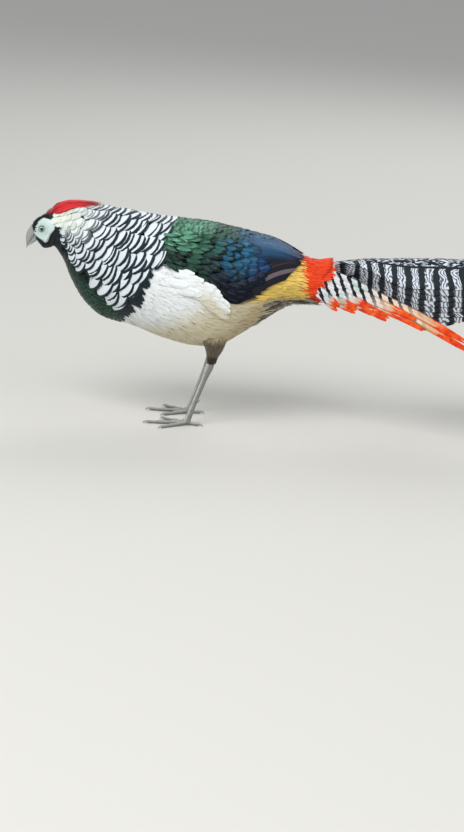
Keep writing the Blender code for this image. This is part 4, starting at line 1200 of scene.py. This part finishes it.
def facePoint(share):
    top, low = Vector(sections[0][:2]), Vector(sections[0][2:4])
    down = (low - top).normalized()
    x, z = top.lerp(low, share) + Vector((down.y, -down.x)) * billClear
    return Vector((x, 0, z))


def addBillHalf(name, half):
    bm = bmesh.new()
    verts, flat = addGrid(bm, 36, 30)
    top, low = (facePoint(share) for share in half["from"])
    end = Vector((half["tip"][0], 0, half["tip"][1]))
    for vert, across, along in zip(verts, *flat):
        up, t = math.sin((across + 1) * math.pi), (along + 1) / 2
        back = top.lerp(end, t) + Vector((-1, 0, 0.3)) * half["arch"] * math.sin(math.pi * t)
        front = low.lerp(end, t)
        thin = 0.93 * t**4
        radius = (back - front) / 2
        middle = (back + front) / 2 + radius * thin * half["keep"]
        wide = (half["width"] * (1 - t**1.6) + 0.0004) * (1 - 0.12 * max(0, up) ** 2)
        wide -= half["nostril"] * math.exp(-((t - 0.17) / 0.06) ** 2 - ((up - 0.25) / 0.30) ** 2)
        aside = Vector((0, wide * math.cos((across + 1) * math.pi), 0))
        vert.co = home + middle + radius * (1 - thin) * up + aside
    return closeMesh(name, bm, merge=0.00001, sharp=50)


def hornPaint():
    paint = Paint("horn", Roughness=0.36, Coat_Weight=0.15, Coat_Roughness=0.3)
    streak = paint.noise(1.0, 4.0, paint.stretched((900, 900, 220)))
    return paint.finish(paint.mix(streak, rgb(168, 172, 166), rgb(118, 124, 124)), streak, 0.25)


horn = hornPaint()
for part, half in billHalves.items():
    finishPiece(addBillHalf("bill" + part.capitalize(), half), horn, "horn", "bill_" + part)

# Eyes: a pale iris round a dark pupil, painted by the distance from the eye's own axis, with lids round it
lid = {"reach": 0.0036, "fold": 0.00075, "folds": 22, "wide": 1.12, "above": 0.64, "below": 0.78, "out": 0.0031,
       "round": 0.00054, "thick": 0.0008}


def eyePaint(side):
    paint = Paint("eye" + hands[side], Roughness=0.06, Coat_Weight=0.6, Coat_Roughness=0.03)
    x, _, z = paint.split(paint.place())
    x, z = x - (home.x + eye["x"]), z - (home.z + eye["z"])
    radius = x.maths("SQRT", x * x + z * z)
    iris = paint.mix(paint.noise(1500, 2.0), rgb(192, 192, 164), rgb(142, 140, 110))
    colour = paint.mix(radius.rise(0.0023, 0.0020), iris, rgb(4, 4, 6))
    paint.set(Base_Color=paint.mix(radius.rise(0.0031, 0.0034), colour, rgb(70, 76, 72)))
    return paint


def addLids(side):
    # A soft oval rim with a fine fold outside it, lying on the face round the eye
    bm = bmesh.new()
    verts, flat = addGrid(bm, 72, 14)
    for vert, across, along in zip(verts, *flat):
        turn, ring = (across + 1) * math.pi, (along + 1) * math.pi
        reach = lid["reach"] + lid["fold"] * (1 + 0.12 * math.sin(turn * lid["folds"])) * math.cos(ring)
        x = math.cos(turn) * reach * lid["wide"]
        z = math.sin(turn) * reach * lid["above" if math.sin(turn) > 0 else "below"]
        out = eye["y"] + lid["out"] - lid["round"] * abs(math.cos(turn)) + lid["thick"] * math.sin(ring)
        vert.co = home + Vector((eye["x"] + x, side * out, eye["z"] + z))
    return closeMesh("lids" + hands[side], bm, merge=0.00002)


lidPaint = Paint("eyelids", Roughness=0.55)
lidPaint.set(Base_Color=lidPaint.mix(lidPaint.noise(1200), rgb(164, 178, 172), rgb(120, 132, 124)))
for side in hands:
    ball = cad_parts["eye_" + hands[side].lower()].data
    ball.materials.clear()
    ball.materials.append(eyePaint(side).material)
    ball.shade_smooth()
    finishPiece(addLids(side), lidPaint, "face_skin")
print("head finished")

# Legs: shanks with overlapping scutes in front, toes with a scute at each step, and claws. Shank steps are shares
# of the way from hock to ankle with the radius there; toes have heading, length and joints.
# front and side: the lighter front of the legs is a painted highlight, the darker sides painted shade
leg = {"y": 0.030, "hock": (0.0265, 0.0875), "ankle": (-0.001, 0.0046), "scute": 0.0034, "toeScute": 0.0026,
       "edge": 0.00028, "grain": 0.00008, "front": rgb(206, 204, 198), "side": rgb(132, 134, 132),
       "shank": ((0.0, 0.0040), (0.04, 0.0052), (0.10, 0.0054), (0.18, 0.0046), (0.3, 0.0036), (0.7, 0.0034),
                 (0.9, 0.0040), (1.0, 0.0048)),
       "spur": ((0, 0, 0.0024), (0.006, 0, 0.0018), (0.0115, 0.0015, 0.0004)), "spurAt": 0.68}
toes = {"inner": (-32, 0.034, 2), "middle": (4, 0.049, 3), "outer": (38, 0.037, 3), "hind": (172, 0.013, 1)}
toeHeight = 0.0042
claw = ((0.001, 0.0024, 0.0016), (0.0035, 0.0029, 0.0015), (0.006, 0.0026, 0.0011), (0.008, 0.0017, 0.0007),
        (0.0092, 0.0006, 0.0003))
upwards = (0, 0, 1)


def addTubes(name, tubes):
    # Closed tubes through points with radii; scutes step the radius on the side that faces out or up
    bm = bmesh.new()
    tint = bm.verts.layers.float_color.new("Tint")
    for points, radii, around, along, scute, facing in tubes:
        points, facing = np.array(points), np.array(facing)
        made, (turn, t) = addGrid(bm, around, along)
        turn = turn * math.pi
        run = np.concatenate([[0], np.cumsum(np.linalg.norm(np.diff(points, axis=0), axis=1))])
        far = (t + 1) / 2 * run[-1]

        def spot(reach):
            return np.stack([np.interp(reach, run, points[:, k]) for k in range(3)], axis=-1)

        ahead = unit(spot(far + 0.001) - spot(far - 0.001))
        front = unit(facing - ahead * dot(ahead, facing)[:, None])
        radius = np.interp(far, run, radii)
        if scute:
            step = (far / scute) % 1.0
            radius = radius + leg["edge"] * (step - 0.4) * smooth((np.cos(turn) + 0.35) / 0.5)
            grain = np.sin(turn * 9) * np.sin(far * 6.2832 / 0.0016)
            radius = radius + leg["grain"] * grain * smooth((0.1 - np.cos(turn)) / 0.5)
        outward = front * np.cos(turn)[:, None] + np.cross(ahead, front) * np.sin(turn)[:, None]
        # Fronts of shanks and toes painted lighter than their sides: a painted highlight where the light falls, weaker
        # on the toes
        paintedHighlight = smooth((np.cos(turn) - 0.15) / 0.6) * (1.0 if scute == leg["scute"] else 0.4)
        lay(made, spot(far) + radius[:, None] * outward)
        for vert, light in zip(made, paintedHighlight):
            vert[tint] = (*blend(leg["side"], leg["front"], light), 1.0)
        bmesh.ops.remove_doubles(bm, verts=made, dist=0.00001)
    return closeMesh(name, bm, sharp=48)


def toeTubes(side, heading, length, joints):
    a = math.radians(heading)
    out = np.array([-math.cos(a), side * math.sin(a), 0.0])
    ball = np.array([leg["ankle"][0], side * leg["y"], 0.0])

    def at(reach, height):
        return ball + out * reach + np.array([0, 0, height])

    rings = [(at(0, toeHeight), 0.0036)]
    for k in range(1, joints + 1):
        t = k / joints
        radius = mix(0.0032, 0.0022, t)
        rings += [(at(length * (t - 0.4 / joints), radius * 0.96), radius * 0.84),
                  (at(length * t, radius * 0.96), radius * 0.96)]
    rings.append((at(length + 0.003, 0.0021), 0.0019))
    horny = [(at(length + reach, height), radius) for reach, height, radius in claw]
    return ((*zip(*rings), 16, int(length / 0.0007), leg["toeScute"], upwards),
            (*zip(*horny), 12, 14, 0, upwards))


def legPaint():
    paint = Paint("scaled legs", Roughness=0.48)
    cell = paint.node("ShaderNodeTexVoronoi", {}, {"Vector": paint.place(), "Scale": 620.0}, "Distance")
    colour = paint.mix(paint.noise(260, 3.0) * 0.45, paint.attribute("Tint"), rgb(112, 112, 108))
    return paint.finish(paint.mix(cell.rise(0.45, 0.75) * 0.4, colour, rgb(82, 82, 80)), cell, 0.3)


scaled = legPaint()
for side in hands:
    hand = hands[side].lower()
    hock, ankle = (np.array([x, side * leg["y"], z]) for x, z in (leg["hock"], leg["ankle"]))
    points, radii = zip(*[(mix(hock, ankle, share), radius) for share, radius in leg["shank"]])
    shank = (points, radii, 28, 130, leg["scute"], (-1, 0, 0.3))
    root, inward = mix(hock, ankle, leg["spurAt"]), np.array([0.6, -0.8 * side, 0.0])
    points, radii = zip(*[(root + inward * reach + np.array([0, 0, up]), radius) for reach, up, radius in leg["spur"]])
    spur = (points, radii, 12, 10, 0, upwards)
    pad = ([ankle + np.array(offset) for offset in ((0.004, 0, 0.001), (0, 0, 0.001), (-0.0045, 0, -0.0006))],
           (0.0030, 0.0046, 0.0036), 18, 12, 0, upwards)
    scaly, horny = zip(*[toeTubes(side, *toe) for toe in toes.values()])
    for name, tubes, paint, slot, nodes in (
            ("shank", (shank,), scaled, "leg_scales", ("shank_" + hand,)), ("spur", (spur,), horn, "horn", ()),
            ("toes", (*scaly, pad), scaled, "leg_scales", ("foot_" + hand,)),
            ("claws", horny, horn, "horn", ("foot_" + hand,))):
        finishPiece(addTubes(name + hands[side], tubes), paint, slot, *nodes)
print("legs made")


# Floor and light
def addStage():
    bm = bmesh.new()
    bmesh.ops.create_grid(bm, x_segments=1, y_segments=1, size=20.0)
    mesh = bpy.data.meshes.new("floor")
    bm.to_mesh(mesh)
    floor = addObject("floor", mesh)
    mesh.materials.append(Paint("pale floor", Roughness=0.9, Base_Color=rgb(206, 204, 198)).material)
    floor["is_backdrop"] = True


# Power, size and place of each lamp
lamps = {"key": (110, 2.2, (-1.6, -2.2, 3.0)), "fill": (34, 3.0, (2.6, -2.4, 1.8)), "back": (40, 2.0, (0.8, 2.8, 2.6))}


def addLamps():
    for name, (power, size, place) in lamps.items():
        data = bpy.data.lights.new(name, "AREA")
        data.energy, data.size = power, size
        lamp = addObject(name, data)
        lamp.location = place
        lamp.rotation_euler = (Vector((-0.1, 0, 0.2)) - Vector(place)).to_track_quat("-Z", "Y").to_euler()
    world = bpy.data.worlds.new("sky")
    bpy.context.scene.world = world
    world.use_nodes = True
    ground = world.node_tree.nodes["Background"].inputs
    ground["Color"].default_value = (*rgb(228, 232, 236), 1.0)
    ground["Strength"].default_value = 0.62
    bpy.context.scene.view_settings.view_transform = "Standard"


addStage()
addLamps()
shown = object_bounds()
print("sizes", [[round(float(a - b), 4) for a, b in zip(*corners)] for corners in zip(shown, cadBox)])
